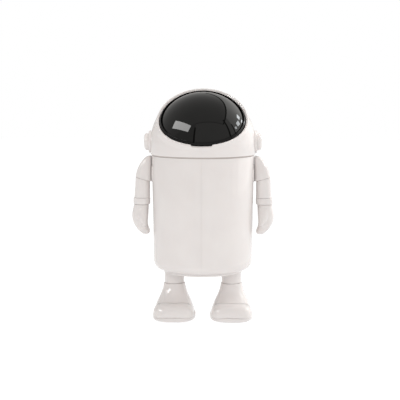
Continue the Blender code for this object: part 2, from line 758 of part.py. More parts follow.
def visor_border_section(angle):
    """The border ring's corners. The angle is not used, because the ring is the same all round."""
    outside = -VISOR_GAP
    soft = 0.5 * MM
    return [
        (outside - soft, VISOR_R),
        (outside, VISOR_R - soft),
        (outside, BORDER_BASE_R),
        (outside - BORDER_WIDTH, BORDER_BASE_R),
        (outside - BORDER_WIDTH, VISOR_R),
    ]


def make_visor_frame():
    """The black ring that borders the dome."""
    add_piece("visor_frame", opening_ring(visor_border_section), BLACK_FRAME)


def rib_rings(side):
    """Outlines of the rib that runs under the dome from front to back, one for each face."""
    steps = 6
    rings = []
    for across in (RIB_INNER_X, RIB_OUTER_X):
        outer = []
        inner = []
        for step in range(steps + 1):
            up = RIB_FRONT + (RIB_BACK - RIB_FRONT) * step / steps
            flat = across * across + up * up
            outer.append(Vector((side * across, up, math.sqrt(RIB_OUTER_R ** 2 - flat))))
            inner.append(Vector((side * across, up, math.sqrt(RIB_INNER_R ** 2 - flat))))
        rings.append([OPENING @ point for point in outer + inner[::-1]])
    return rings


def dome_shell():
    """The dome's two skins, joined along its edge."""
    growth = -(VISOR_GAP + BORDER_WIDTH + FIT_GAP)
    skins = [(share, DOME_R) for share in (0.3, 0.6, 0.85, 1.0)]
    skins += [(share, DOME_INNER_R) for share in (1.0, 0.85, 0.6, 0.3)]
    rings = []
    for share, radius in skins:
        ring = []
        for index in range(SIDES_LARGE):
            angle = 2.0 * math.pi * index / SIDES_LARGE
            x = share * (OPENING_HALF_WIDTH + growth) * math.cos(angle)
            up = OPENING_SHIFT + share * (OPENING_HALF_HEIGHT + growth) * math.sin(angle)
            ring.append(OPENING @ Vector((x, up, math.sqrt(radius * radius - x * x - up * up))))
        rings.append(ring)
    bm = loft_mesh(rings)
    caps = [face for face in bm.faces if len(face.verts) == SIDES_LARGE]
    for cap, radius in zip(caps, (DOME_R, DOME_INNER_R)):
        middle = bmesh.ops.poke(bm, faces=[cap])["verts"][0]
        middle.co = OPENING @ Vector((0.0, OPENING_SHIFT, math.sqrt(radius ** 2 - OPENING_SHIFT ** 2)))
    return bm


def make_visor_dome():
    """The glossy shell inside the border, with two ribs behind it whose eyes take the hinge pins."""
    dome = add_piece("visor_dome", dome_shell(), BLACK_GLOSS)
    for side_name, side in SIDES:
        combine(dome, add_cutter(f"{side_name}_visor_rib", loft_mesh(rib_rings(side))), "UNION")
        neck_x = sorted((side * (RIB_INNER_X + NECK_INSET), side * (RIB_OUTER_X - NECK_INSET)))
        corner_a = (neck_x[0], HINGE_UP - RIB_EYE_R, HINGE_OUT)
        corner_b = (neck_x[1], HINGE_UP + RIB_EYE_R, HINGE_OUT + NECK_HEIGHT)
        combine(dome, block(f"{side_name}_visor_neck", corner_a, corner_b, None, OPENING), "UNION")
        inner = OPENING @ Vector((side * (RIB_INNER_X - NECK_INSET), HINGE_UP, HINGE_OUT))
        outer = OPENING @ Vector((side * (RIB_OUTER_X + NECK_INSET), HINGE_UP, HINGE_OUT))
        combine(dome, rod(f"{side_name}_visor_eye", RIB_EYE_R, inner, outer), "UNION")
        reach = Vector((side * HOLE_REACH, 0.0, 0.0))
        hole = rod(f"{side_name}_visor_eye_hole", HINGE_PIN_R + FIT_GAP, inner - reach, outer + reach)
        combine(dome, hole, "DIFFERENCE")


def make_visor_pin(side_name, side):
    inner = OPENING @ Vector((side * HINGE_PIN_INNER_X, HINGE_UP, HINGE_OUT))
    outer = OPENING @ Vector((side * HINGE_HALF_SPAN, HINGE_UP, HINGE_OUT))
    rod(f"{side_name}_visor_pin", HINGE_PIN_R, inner, outer, STEEL)


# ---------------------------------------------------------------- arms

def make_shoulder(side_name, side):
    """The rounded shoulder, flat towards the body, cut off below along a slanting seam."""
    inner = ARM_INNER_X / MM
    sections = [
        (inner + 0.9, 107.5, -6.5, 6.5, 323.4),
        (inner + 0.2, 112.6, -10.5, 10.5, 321.2),
        (inner, 117.8, -13.2, 13.2, 316.6),
        (inner, 122.8, -15.0, 15.0, 310.0),
        (inner, 127.4, -16.2, 16.2, 302.4),
        (inner, 131.2, -16.9, 16.9, 293.2),
    ]
    rings = mm_rings(sections, 3.0)
    rings.append(oval((ARM_INNER_X, 133.5 * MM), (-17.0 * MM, 17.0 * MM), SEAM_Z, 3.0, SEAM_SLOPE, SEAM_X))
    shoulder = add_piece(f"{side_name}_shoulder", loft_mesh(mirrored(rings, side)), WHITE)
    start = (side * (ARM_INNER_X - 2.0 * MM), 0.0, SHOULDER_Z)
    end = (side * (ARM_INNER_X + 14.0 * MM), 0.0, SHOULDER_Z)
    combine(shoulder, rod(f"{side_name}_shoulder_socket", ARM_PIVOT_R + FIT_GAP, start, end), "DIFFERENCE")


def make_arm_pivot(side_name, side):
    """The stub that the arm turns on: fixed in the shoulder, free in the body's wall."""
    start = (side * ARM_PIVOT_INNER_X, 0.0, SHOULDER_Z)
    end = (side * (ARM_INNER_X + 13.5 * MM), 0.0, SHOULDER_Z)
    rod(f"{side_name}_arm_pivot", ARM_PIVOT_R, start, end, STEEL)
    clip_start = (side * (ARM_PIVOT_INNER_X + 0.8 * MM), 0.0, SHOULDER_Z)
    clip_end = (side * (ARM_PIVOT_INNER_X + 2.0 * MM), 0.0, SHOULDER_Z)
    clip = rod(f"{side_name}_arm_clip", ARM_CLIP_R, clip_start, clip_end, STEEL)
    reach = Vector((side * HOLE_REACH, 0.0, 0.0))
    hole_start = Vector(clip_start) - reach
    hole_end = Vector(clip_end) + reach
    clip_hole = rod(f"{side_name}_clip_hole", ARM_PIVOT_R + FIT_GAP, hole_start, hole_end)
    combine(clip, clip_hole, "DIFFERENCE")


def make_sleeve(side_name, side):
    x_range = (105.4 * MM, 133.7 * MM)
    seam = oval(x_range, (-16.6 * MM, 16.6 * MM), SEAM_Z - 0.4 * MM, 2.6, SEAM_SLOPE, SEAM_X)
    sections = [
        (105.4, 134.9, -16.2, 16.2, 258.0),
        (105.4, 136.6, -16.2, 16.2, CUFF_TOP + 0.3),
    ]
    rings = [seam] + mm_rings(sections)
    add_piece(f"{side_name}_sleeve", loft_mesh(mirrored(rings, side)), WHITE)


def make_cuff(side_name, side):
    """The thick ring round the wrist."""
    edge = 1.2
    inner = 105.0
    outer = 138.0
    half_depth = 17.2
    sections = [
        (inner + edge, outer - edge, edge - half_depth, half_depth - edge, CUFF_TOP),
        (inner, outer, -half_depth, half_depth, CUFF_TOP - edge),
        (inner, outer, -half_depth, half_depth, CUFF_BOTTOM + edge),
        (inner + edge, outer - edge, edge - half_depth, half_depth - edge, CUFF_BOTTOM),
    ]
    add_piece(f"{side_name}_cuff", loft_mesh(mirrored(mm_rings(sections), side)), WHITE)


def make_glove(side_name, side):
    """A mitten whose fingers curl towards the body, with a thumb in front."""
    palm = [
        (107.8, 137.2, -15.5, 15.5, CUFF_BOTTOM - 0.3),
        (108.2, 138.8, -16.4, 16.4, 218.7),
        (108.7, 141.0, -17.2, 17.2, 208.0),
        (109.5, 140.6, -17.4, 17.4, 197.8),
        (109.7, 137.6, -17.0, 17.0, 189.0),
        (108.8, 134.4, -16.0, 16.0, 183.0),
        (106.0, 129.8, -13.8, 13.8, 176.2),
        (105.6, 125.4, -11.0, 11.0, 171.6),
        (107.2, 121.6, -7.6, 7.6, 168.5),
        (110.5, 117.5, -4.0, 4.0, 166.6),
    ]
    thumb = [
        (111.5, 128.0, -14.4, -6.0, 225.0),
        (109.6, 131.0, -18.6, -6.0, 215.0),
        (109.8, 130.4, -21.0, -6.0, 204.5),
        (110.1, 127.4, -21.8, -6.0, 197.0),
        (110.4, 123.6, -21.2, -6.0, 191.0),
        (110.9, 119.4, -19.4, -6.0, 186.4),
        (112.2, 116.0, -16.6, -7.0, 184.0),
    ]
    glove = add_piece(f"{side_name}_glove", loft_mesh(mirrored(mm_rings(palm, 2.5), side)), WHITE)
    thumb_cutter = add_cutter(f"{side_name}_thumb", loft_mesh(mirrored(mm_rings(thumb, 2.2), side)))
    combine(glove, thumb_cutter, "UNION")


# ---------------------------------------------------------------- joints and assembly

def add_joint_empty(name, location, children):
    """An empty on a joint's axis that carries the pieces which turn about it."""
    empty = bpy.data.objects.new(name, None)
    empty.empty_display_size = 20.0 * MM
    empty.location = location
    PARTS.objects.link(empty)
    bpy.context.view_layer.update()
    for child_name in children:
        child = PARTS.objects[child_name]
        child.parent = empty
        child.matrix_parent_inverse = Matrix.Translation(location).inverted()


def build():
    make_body_shell()
    make_base_plate()
    make_inner_bucket()
    make_leg_screws()
    make_helmet_shell()
    make_visor_rim()
    make_locating_ring()
    make_visor_frame()
    make_visor_dome()
    for side_name, side in SIDES:
        make_leg(side_name, side)
        make_boot(side_name, side)
        make_toe_cap(side_name, side)
        make_sole(side_name, side)
        make_foot_pad(side_name, side)
        make_ear(side_name, side)
        make_visor_bearing(side_name, side)
        make_visor_pin(side_name, side)
        make_shoulder(side_name, side)
        make_arm_pivot(side_name, side)
        make_sleeve(side_name, side)
        make_cuff(side_name, side)
        make_glove(side_name, side)
        arm = [f"{side_name}_{piece}" for piece in ARM_PIECES]
        add_joint_empty(f"{side_name}_arm_axis", Vector((side * ARM_INNER_X, 0.0, SHOULDER_Z)), arm)
    visor = ["visor_frame", "visor_dome", "left_visor_pin", "right_visor_pin"]
    add_joint_empty("visor_axis", OPENING @ Vector((0.0, HINGE_UP, HINGE_OUT)), visor)


clear_scene()
PARTS = new_collection(PARTS_NAME)
CUTTERS = new_collection(CUTTERS_NAME)
OPENING = opening_matrix()
build()
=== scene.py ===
"""Finished look of the astronaut waste bin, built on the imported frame. Lengths are in metres."""
import json
import math

import bmesh
import bpy
from mathutils import Matrix, Vector


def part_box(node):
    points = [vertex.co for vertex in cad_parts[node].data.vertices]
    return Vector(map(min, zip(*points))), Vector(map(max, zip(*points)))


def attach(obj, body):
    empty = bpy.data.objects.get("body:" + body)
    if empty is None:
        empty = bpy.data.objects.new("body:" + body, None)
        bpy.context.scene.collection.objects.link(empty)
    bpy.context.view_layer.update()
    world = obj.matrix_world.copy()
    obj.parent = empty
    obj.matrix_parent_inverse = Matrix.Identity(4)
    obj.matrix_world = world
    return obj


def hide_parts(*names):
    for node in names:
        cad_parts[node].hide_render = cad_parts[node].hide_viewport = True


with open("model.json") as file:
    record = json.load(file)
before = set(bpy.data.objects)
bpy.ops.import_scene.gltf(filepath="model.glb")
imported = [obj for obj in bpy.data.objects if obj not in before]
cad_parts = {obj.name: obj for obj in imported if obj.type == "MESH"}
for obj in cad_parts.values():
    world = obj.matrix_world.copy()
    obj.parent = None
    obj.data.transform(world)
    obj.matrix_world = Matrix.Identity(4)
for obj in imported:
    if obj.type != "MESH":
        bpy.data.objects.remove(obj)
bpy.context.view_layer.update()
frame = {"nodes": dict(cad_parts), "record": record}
MM = 0.001
SIDES = (("left", 1), ("right", -1))

# ---- places read from the frame


def low(node):
    return Vector(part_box(node)[0])


def high(node):
    return Vector(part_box(node)[1])


def joint_place(name):
    for joint in frame["record"]["behaviour"]["joints"]:
        if joint["name"] == name:
            return Vector(joint["pos_m"])
    raise ValueError(f"no joint {name}")


BODY_TOP_R = high("bin_body_shell").x
BODY_TOP_Z = high("bin_body_shell").z
BODY_BOTTOM_Z = low("bin_body_shell").z
BODY_BOTTOM_R = BODY_TOP_R - 3.9 * MM
BODY_WALL = 2.8 * MM
BODY_FILLET = 20.0 * MM

HELMET_R = high("helmet_shell").x
HELMET_WALL = 3.0 * MM
HELMET_BOTTOM_Z = low("helmet_shell").z

OPENING_TILT = math.radians(52.5)
OPENING_HALF_WIDTH = 84.8 * MM
OPENING_HALF_HEIGHT = 78.2 * MM
OPENING_SHIFT = -3.0 * MM
RIM_WIDTH = 4.3 * MM
RIM_LIP_FRONT_R = 106.0 * MM
RIM_LIP_TOP_R = 108.2 * MM
RIM_INNER_R = 103.7 * MM
RIM_SEAT_R = 97.9 * MM
FLANGE_BASE_R = 95.5 * MM
VISOR_GAP = 1.2 * MM
VISOR_R = 103.3 * MM
BORDER_WIDTH = 2.9 * MM
BORDER_BASE_R = 98.3 * MM
DOME_R = 100.6 * MM
DOME_INNER_R = 98.6 * MM
HINGE_UP = 20.0 * MM
HINGE_OUT = 64.0 * MM
HINGE = joint_place("visor_rock")
HELMET_CENTRE = Vector((
    0.0, 0.0, HINGE.z - HINGE_UP * math.cos(OPENING_TILT) - HINGE_OUT * math.sin(OPENING_TILT),
))

RIM_SEAT_DEPTHS = (0.25 * MM, 6.0 * MM)
RIM_CREST = 7.0 * MM
RIM_FLARES = (6.5 * MM, 15.0 * MM)
RIM_BEAD = 0.6 * MM
RIM_FACE_STEPS = 10
NOTCH_STEPS = ((-20.5, 0.3), (-19.2, -1.6), (19.2, -1.6), (20.5, 0.3))
NOTCH_FRONT_Y = -112.0
NOTCH_BACK_Y = -99.5
NOTCH_TOP = 359.0

RIB_FACES = (54.0 * MM, 58.0 * MM)
RIB_OUTER_R = 99.6 * MM
RIB_INNER_R = 93.0 * MM
RIB_EYE_R = 5.5 * MM

EAR_Z = (low("left_ear_base").z + high("left_ear_base").z) / 2
EAR_BASE_R = high("left_ear_base").y
EAR_BASE_X = high("left_ear_base").x
EAR_CAP_R = high("left_ear_cap").y
EAR_CAP_X = high("left_ear_cap").x
EAR_STUB_R = 6.0 * MM

TOE_BACK_Y = -30.0
TOE_ARCH_POWER = 0.68
SOLE_SQUARENESS = 2.7
SEAM_SLOPE = 0.26
SEAM_X = 106.0 * MM
SEAM_Z = 274.0 * MM

ROUND_STEPS = 160
ROUND_ANGLES = [2.0 * math.pi * step / ROUND_STEPS for step in range(ROUND_STEPS)]
RING_POINTS = 72
SHARP_ANGLE = math.radians(40)

# ---- material helpers


class Nodes:
    """A Principled material with the moulded plastic's or metal's own fine detail."""

    def __init__(self, name):
        self.material = bpy.data.materials.new(name)
        self.material.use_nodes = True
        self.tree = self.material.node_tree
        self.shader = self.tree.nodes["Principled BSDF"]
        self.place = self.tree.nodes.new("ShaderNodeTexCoord").outputs["Object"]

    def link(self, output, target):
        self.tree.links.new(output, target)

    def noise(self, scale, detail=3.0, stretch=None):
        node = self.tree.nodes.new("ShaderNodeTexNoise")
        node.inputs["Scale"].default_value = scale
        node.inputs["Detail"].default_value = detail
        source = self.place
        if stretch:
            mapping = self.tree.nodes.new("ShaderNodeMapping")
            mapping.inputs["Scale"].default_value = stretch
            self.link(source, mapping.inputs["Vector"])
            source = mapping.outputs["Vector"]
        self.link(source, node.inputs["Vector"])
        return node.outputs["Fac"]

    def spread(self, value, bottom, top):
        """Map a noise value's middle range to the given span."""
        node = self.tree.nodes.new("ShaderNodeMapRange")
        node.inputs["From Min"].default_value = 0.3
        node.inputs["From Max"].default_value = 0.7
        node.inputs["To Min"].default_value = bottom
        node.inputs["To Max"].default_value = top
        self.link(value, node.inputs["Value"])
        return node.outputs["Result"]

    def blend_colours(self, value, first, second):
        node = self.tree.nodes.new("ShaderNodeMix")
        node.data_type = "RGBA"
        node.inputs["A"].default_value = (*first, 1.0)
        node.inputs["B"].default_value = (*second, 1.0)
        self.link(value, node.inputs["Factor"])
        return node.outputs["Result"]

    def bump(self, value, distance, strength=1.0, under=None):
        node = self.tree.nodes.new("ShaderNodeBump")
        node.inputs["Distance"].default_value = distance
        node.inputs["Strength"].default_value = strength
        self.link(value, node.inputs["Height"])
        if under:
            self.link(under, node.inputs["Normal"])
        self.link(node.outputs["Normal"], self.shader.inputs["Normal"])
        return node.outputs["Normal"]


def mould_line(nodes, under):
    """A hair-thin raised parting line down the front, where the mould's halves met."""
    split = nodes.tree.nodes.new("ShaderNodeSeparateXYZ")
    nodes.link(nodes.place, split.inputs["Vector"])
    across = nodes.tree.nodes.new("ShaderNodeMath")
    across.operation = "COMPARE"
    across.inputs[1].default_value = 0.0
    across.inputs[2].default_value = 0.7 * MM
    nodes.link(split.outputs["X"], across.inputs[0])
    nodes.bump(across.outputs["Value"], 0.3 * MM, 1.0, under)


def white_plastic(name, tone, has_line=False):
    """Glossy warm white moulding: faint flow clouds, orange peel, and a slightly uneven polish."""
    nodes = Nodes(name)
    clouds = nodes.spread(nodes.noise(22.0, 4.0), 0.0, 1.0)
    bright = tuple(channel * tone for channel in WHITE)
    dull = tuple(channel * tone for channel in WHITE_SHADED)
    nodes.link(nodes.blend_colours(clouds, bright, dull), nodes.shader.inputs["Base Color"])
    nodes.link(nodes.spread(nodes.noise(60.0, 5.0), 0.035, 0.075), nodes.shader.inputs["Roughness"])
    peel = nodes.bump(nodes.noise(900.0, 2.0), 0.012 * MM, 0.35)
    waves = nodes.bump(nodes.noise(28.0, 2.0), 0.25 * MM, 0.12, peel)
    if has_line:
        mould_line(nodes, waves)
    nodes.shader.inputs["IOR"].default_value = 1.46
    nodes.shader.inputs["Subsurface Weight"].default_value = 0.06
    nodes.shader.inputs["Subsurface Radius"].default_value = (3.0 * MM, 2.4 * MM, 2.0 * MM)
    return nodes.material


def black_plastic(name, colour, rough_low, rough_high, ior):
    """Black moulding with a faint polish haze."""
    nodes = Nodes(name)
    haze = nodes.spread(nodes.noise(45.0, 6.0), 0.0, 1.0)
    lighter = tuple(channel * 1.5 for channel in colour)
    nodes.link(nodes.blend_colours(haze, colour, lighter), nodes.shader.inputs["Base Color"])
    nodes.link(nodes.spread(nodes.noise(110.0, 5.0), rough_low, rough_high), nodes.shader.inputs["Roughness"])
    nodes.bump(nodes.noise(24.0, 2.0), 0.12 * MM, 0.1)
    nodes.shader.inputs["IOR"].default_value = ior
    return nodes.material


def grained_plastic(name, colour):
    """Matte moulding with a fine spark-eroded grain."""
    nodes = Nodes(name)
    mottle = nodes.spread(nodes.noise(35.0, 5.0), 0.0, 1.0)
    darker = tuple(channel * 0.88 for channel in colour)
    nodes.link(nodes.blend_colours(mottle, colour, darker), nodes.shader.inputs["Base Color"])
    nodes.link(nodes.spread(nodes.noise(400.0, 3.0), 0.42, 0.58), nodes.shader.inputs["Roughness"])
    nodes.bump(nodes.noise(1500.0, 3.0), 0.05 * MM, 0.6)
    return nodes.material


def foot_rubber(name):
    nodes = Nodes(name)
    dust = nodes.spread(nodes.noise(180.0, 6.0), 0.0, 1.0)
    nodes.link(nodes.blend_colours(dust, (0.022, 0.022, 0.022), (0.05, 0.048, 0.045)),
               nodes.shader.inputs["Base Color"])
    nodes.link(nodes.spread(nodes.noise(250.0, 3.0), 0.7, 0.9), nodes.shader.inputs["Roughness"])
    nodes.bump(nodes.noise(1100.0, 3.0), 0.12 * MM, 0.8)
    return nodes.material


def zinc_steel(name):
    """Bright zinc plate with drawn scratches along each part's length."""
    nodes = Nodes(name)
    tint = nodes.spread(nodes.noise(90.0, 4.0), 0.0, 1.0)
    nodes.link(nodes.blend_colours(tint, (0.58, 0.58, 0.60), (0.46, 0.47, 0.50)),
               nodes.shader.inputs["Base Color"])
    scratches = nodes.noise(900.0, 4.0, (0.1, 1.0, 1.0))
    nodes.link(nodes.spread(scratches, 0.22, 0.42), nodes.shader.inputs["Roughness"])
    nodes.bump(scratches, 0.02 * MM, 0.4)
    nodes.shader.inputs["Metallic"].default_value = 1.0
    return nodes.material


WHITE = (0.81, 0.772, 0.758)
WHITE_SHADED = (0.785, 0.742, 0.728)
SHELL_WHITE = white_plastic("shell_white", 1.0, True)
LID_WHITE = white_plastic("lid_white", 1.0, True)
ARM_WHITE = white_plastic("arm_white", 0.99)
BOOT_WHITE = white_plastic("boot_white", 0.99)
VISOR_BLACK = black_plastic("visor_black", (0.003, 0.003, 0.0028), 0.012, 0.03, 1.40)
BORDER_BLACK = black_plastic("visor_border_black", (0.003, 0.003, 0.003), 0.1, 0.16, 1.3)
BUCKET_GREY = grained_plastic("bucket_grey", (0.42, 0.43, 0.44))
# The seam ring's grey is painted shade: it is darker than the shell so that the ring reads as the shadowed
# parting groove between lid and body.
SEAM_SHADE_GREY = grained_plastic("seam_shade_grey", (0.60, 0.54, 0.51))
FOOT_RUBBER = foot_rubber("foot_rubber")
ZINC = zinc_steel("zinc_steel")

# ---- mesh helpers


def smooth(mesh):
    mesh.shade_smooth()
    mesh.set_sharp_from_angle(angle=SHARP_ANGLE)


def mesh_object(name, bm, material=None):
    bmesh.ops.recalc_face_normals(bm, faces=bm.faces)
    mesh = bpy.data.meshes.new(name)
    bm.to_mesh(mesh)
    bm.free()
    smooth(mesh)
    if material:
        mesh.materials.append(material)
    piece = bpy.data.objects.new(name, mesh)
    bpy.context.scene.collection.objects.link(piece)
    return piece


def settle(piece):
    """Turn a piece's modifiers into its mesh."""
    graph = bpy.context.evaluated_depsgraph_get()
    finished = bpy.data.meshes.new_from_object(piece.evaluated_get(graph))
    old = piece.data
    piece.modifiers.clear()
    piece.data = finished
    bpy.data.meshes.remove(old)
    smooth(piece.data)


def cut(piece, cutters, operation="DIFFERENCE"):
    """Boolean the piece with each cutter, and drop the cutters."""
    for cutter in cutters:
        modifier = piece.modifiers.new(cutter.name, "BOOLEAN")
        modifier.operation = operation
        modifier.object = cutter
    settle(piece)
    for cutter in cutters:
        bpy.data.objects.remove(cutter)


def soften(piece, width, segments=3, angle=30.0):
    bevel = piece.modifiers.new("soft_edges", "BEVEL")
    bevel.width = width
    bevel.segments = segments
    bevel.limit_method = "ANGLE"
    bevel.angle_limit = math.radians(angle)
    bevel.harden_normals = False
    settle(piece)


def finish_piece(piece, body, slot, *nodes):
    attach(piece, body)
    if nodes:
        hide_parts(*nodes)


def arc(centre, radius, start_deg, end_deg, steps):
    """Points (r, z) on an arc, both ends included."""
    points = []
    for step in range(steps + 1):
        angle = math.radians(start_deg + (end_deg - start_deg) * step / steps)
        points.append((centre[0] + radius * math.cos(angle), centre[1] + radius * math.sin(angle)))
    return points


def turned(name, outline, material=None, steps=ROUND_STEPS):
    """Turn an outline of (r, z) points about Z. One whose ends lie on the axis is closed there by poles."""
    bm = bmesh.new()
    on_axis = outline[0][0] == 0.0
    rings = []
    for radius, z in outline:
        if radius == 0.0:
            rings.append([bm.verts.new((0.0, 0.0, z))] * steps)
            continue
        ring = []
        for step in range(steps):
            angle = 2.0 * math.pi * step / steps
            ring.append(bm.verts.new((radius * math.cos(angle), radius * math.sin(angle), z)))
        rings.append(ring)
    pairs = list(zip(rings, rings[1:]))
    if not on_axis:
        pairs.append((rings[-1], rings[0]))
    for first, second in pairs:
        for step in range(steps):
            following = (step + 1) % steps
            corners = [first[step], first[following], second[following], second[step]]
            corners = list(dict.fromkeys(corners))
            if len(corners) > 2:
                bm.faces.new(corners)
    return mesh_object(name, bm, material)


def bar(name, radius, start, end, steps=48):
    """A round bar between two points, used to drill holes and for studs."""
    start = Vector(start)
    end = Vector(end)
    bm = bmesh.new()
    length = (end - start).length
    bmesh.ops.create_cone(bm, cap_ends=True, segments=steps, radius1=radius, radius2=radius, depth=length)
    turn = Vector((0.0, 0.0, 1.0)).rotation_difference(end - start).to_matrix().to_4x4()
    bmesh.ops.transform(bm, matrix=Matrix.Translation((start + end) / 2) @ turn, verts=bm.verts)
    return mesh_object(name, bm)


def skin(rings):
    """Skin a run of equal rings; each end is closed by a fan about its own centre."""
    bm = bmesh.new()
    rows = [[bm.verts.new(point) for point in ring] for ring in rings]
    count = len(rows[0])
    for lower, upper in zip(rows, rows[1:]):
        for index in range(count):
            following = (index + 1) % count
            bm.faces.new((lower[index], lower[following], upper[following], upper[index]))
    for row in (rows[0], rows[-1]):
        middle = bm.verts.new(sum((vert.co for vert in row), Vector()) / count)
        for index in range(count):
            bm.faces.new((row[index], row[(index + 1) % count], middle))
    return bm


def skinned(name, rings, material=None):
    return mesh_object(name, skin(rings), material)


def oval(x_range, y_range, z, squareness=2.6, tilt=0.0, tilt_x=0.0):
    """A rounded-box ring in a level plane, or in one that rises with x by the tilt about tilt_x."""
    centre_x = (x_range[0] + x_range[1]) / 2
    centre_y = (y_range[0] + y_range[1]) / 2
    half_x = (x_range[1] - x_range[0]) / 2
    half_y = (y_range[1] - y_range[0]) / 2
    power = 2.0 / squareness
    ring = []
    for index in range(RING_POINTS):
        angle = 2.0 * math.pi * (index + 0.5) / RING_POINTS
        cosine = math.cos(angle)
        sine = math.sin(angle)
        x = centre_x + half_x * math.copysign(abs(cosine) ** power, cosine)
        y = centre_y + half_y * math.copysign(abs(sine) ** power, sine)
        ring.append(Vector((x, y, z + tilt * (x - tilt_x))))
    return ring


def flowing(sections, per_span=6):
    """Fill in between sections with a smooth curve through each of their values."""
    filled = []
    last = len(sections) - 1
    for index in range(last):
        before = sections[max(index - 1, 0)]
        start = sections[index]
        end = sections[index + 1]
        after = sections[min(index + 2, last)]
        for step in range(per_span):
            t = step / per_span
            values = []
            for a, b, c, d in zip(before, start, end, after):
                values.append(0.5 * (
                    2 * b + (c - a) * t + (2 * a - 5 * b + 4 * c - d) * t ** 2
                    + (3 * b - a - 3 * c + d) * t ** 3
                ))
            filled.append(tuple(values))
    filled.append(sections[last])
    return filled


def on_side(ring, side):
    return [Vector((side * point.x, point.y, point.z)) for point in ring]


def mm_rings(sections, side, squareness=2.6):
    """Level rings from (x inner, x outer, y front, y back, z) sections in millimetres, for one side."""
    rings = []
    for inner, outer, front, back, z in sections:
        ring = oval((inner * MM, outer * MM), (front * MM, back * MM), z * MM, squareness)
        rings.append(on_side(ring, side))
    return rings


# ---- visor opening's frame


def opening_matrix():
    """Columns are across, up the face, and out of the opening. The origin is the helmet's centre."""
    matrix = Matrix.Identity(4)
    matrix.col[1] = (0.0, math.sin(OPENING_TILT), math.cos(OPENING_TILT), 0.0)
    matrix.col[2] = (0.0, -math.cos(OPENING_TILT), math.sin(OPENING_TILT), 0.0)
    matrix.col[3] = (*HELMET_CENTRE, 1.0)
    return matrix


OPENING = opening_matrix()


def opening_point(growth, angle, radius, share=1.0):
    """A point on a sphere about the helmet's centre, on the opening's outline grown sideways."""
    x = share * (OPENING_HALF_WIDTH + growth) * math.cos(angle)
    up = OPENING_SHIFT + share * (OPENING_HALF_HEIGHT + growth) * math.sin(angle)
    return OPENING @ Vector((x, up, math.sqrt(radius * radius - x * x - up * up)))


def opening_ring(section):
    """A closed ring round the opening; section gives each angle's (growth, radius) corners."""
    bm = bmesh.new()
    rows = []
    for angle in ROUND_ANGLES:
        rows.append([bm.verts.new(opening_point(growth, angle, radius)) for growth, radius in section(angle)])
    corners = len(rows[0])
    for index, row in enumerate(rows):
        following = rows[(index + 1) % len(rows)]
        for corner in range(corners):
            other = (corner + 1) % corners
            bm.faces.new((row[corner], row[other], following[other], following[corner]))
    return bm


def opening_prism(growth, bottom, top):
    rings = []
    for out in (bottom, top):
        ring = []
        for angle in ROUND_ANGLES:
            x = (OPENING_HALF_WIDTH + growth) * math.cos(angle)
            up = OPENING_SHIFT + (OPENING_HALF_HEIGHT + growth) * math.sin(angle)
            ring.append(OPENING @ Vector((x, up, out)))
        rings.append(ring)
    return skinned("opening_cutter", rings)


# ---- bin body


def body_radius(z):
    share = (z - BODY_BOTTOM_Z) / (BODY_TOP_Z - BODY_BOTTOM_Z)
    return BODY_BOTTOM_R + (BODY_TOP_R - BODY_BOTTOM_R) * share


def make_body():
    """The bin's shell, with a rounded rim, a ledge for the bucket, and a faint mould line down the front."""
    fillet_z = BODY_BOTTOM_Z + BODY_FILLET
    corner_r = body_radius(fillet_z) - BODY_FILLET
    ledge_z = high("inner_bucket").z - 3.6 * MM
    ledge_r = 93.0 * MM
    rim_edge = 0.8 * MM
    outline = [(0.0, BODY_BOTTOM_Z + BODY_WALL)]
    outline += arc((corner_r, fillet_z), BODY_FILLET - BODY_WALL, -90, 0, 10)
    outline.append((body_radius(ledge_z - 7.0 * MM) - BODY_WALL, ledge_z - 7.0 * MM))
    outline.append((ledge_r, ledge_z - 2.5 * MM))
    outline.append((ledge_r, ledge_z))
    outline.append((body_radius(ledge_z) - BODY_WALL, ledge_z))
    outline.append((BODY_TOP_R - BODY_WALL, BODY_TOP_Z))
    outline += arc((BODY_TOP_R - rim_edge, BODY_TOP_Z - rim_edge), rim_edge, 90, 0, 4)
    outline += arc((corner_r, fillet_z), BODY_FILLET, 0, -90, 20)
    outline.append((0.0, BODY_BOTTOM_Z))
    shell = turned("bin_body", outline, SHELL_WHITE)
    bosses = []
    holes = []
    for side_name, side in SIDES:
        pivot = joint_place(f"{side_name}_arm_swing")
        root = (side * 98.1 * MM, 0.0, pivot.z)
        face = (pivot.x - side * 0.3 * MM, 0.0, pivot.z)
        bosses.append(bar(f"{side_name}_boss", 18.0 * MM, root, face, steps=96))
        radius = high(f"{side_name}_arm_pivot").y + 0.1 * MM
        near = (side * (BODY_BOTTOM_R - 8.0 * MM), 0.0, pivot.z)
        far = (side * (BODY_TOP_R + 8.0 * MM), 0.0, pivot.z)
        holes.append(bar(f"{side_name}_shoulder_hole", radius, near, far))
    cut(shell, bosses, "UNION")
    cut(shell, holes)
    finish_piece(shell, "bin_body", "body_white", "bin_body_shell")


def make_base():
    bottom = low("base_plate")
    top = high("base_plate")
    edge = 1.2 * MM
    outline = [(0.0, top.z), (top.x, top.z)]
    outline += arc((top.x - edge, bottom.z + edge), edge, 0, -90, 5)
    outline.append((0.0, bottom.z))
    finish_piece(turned("base", outline, SHELL_WHITE), "bin_body", "body_white", "base_plate")


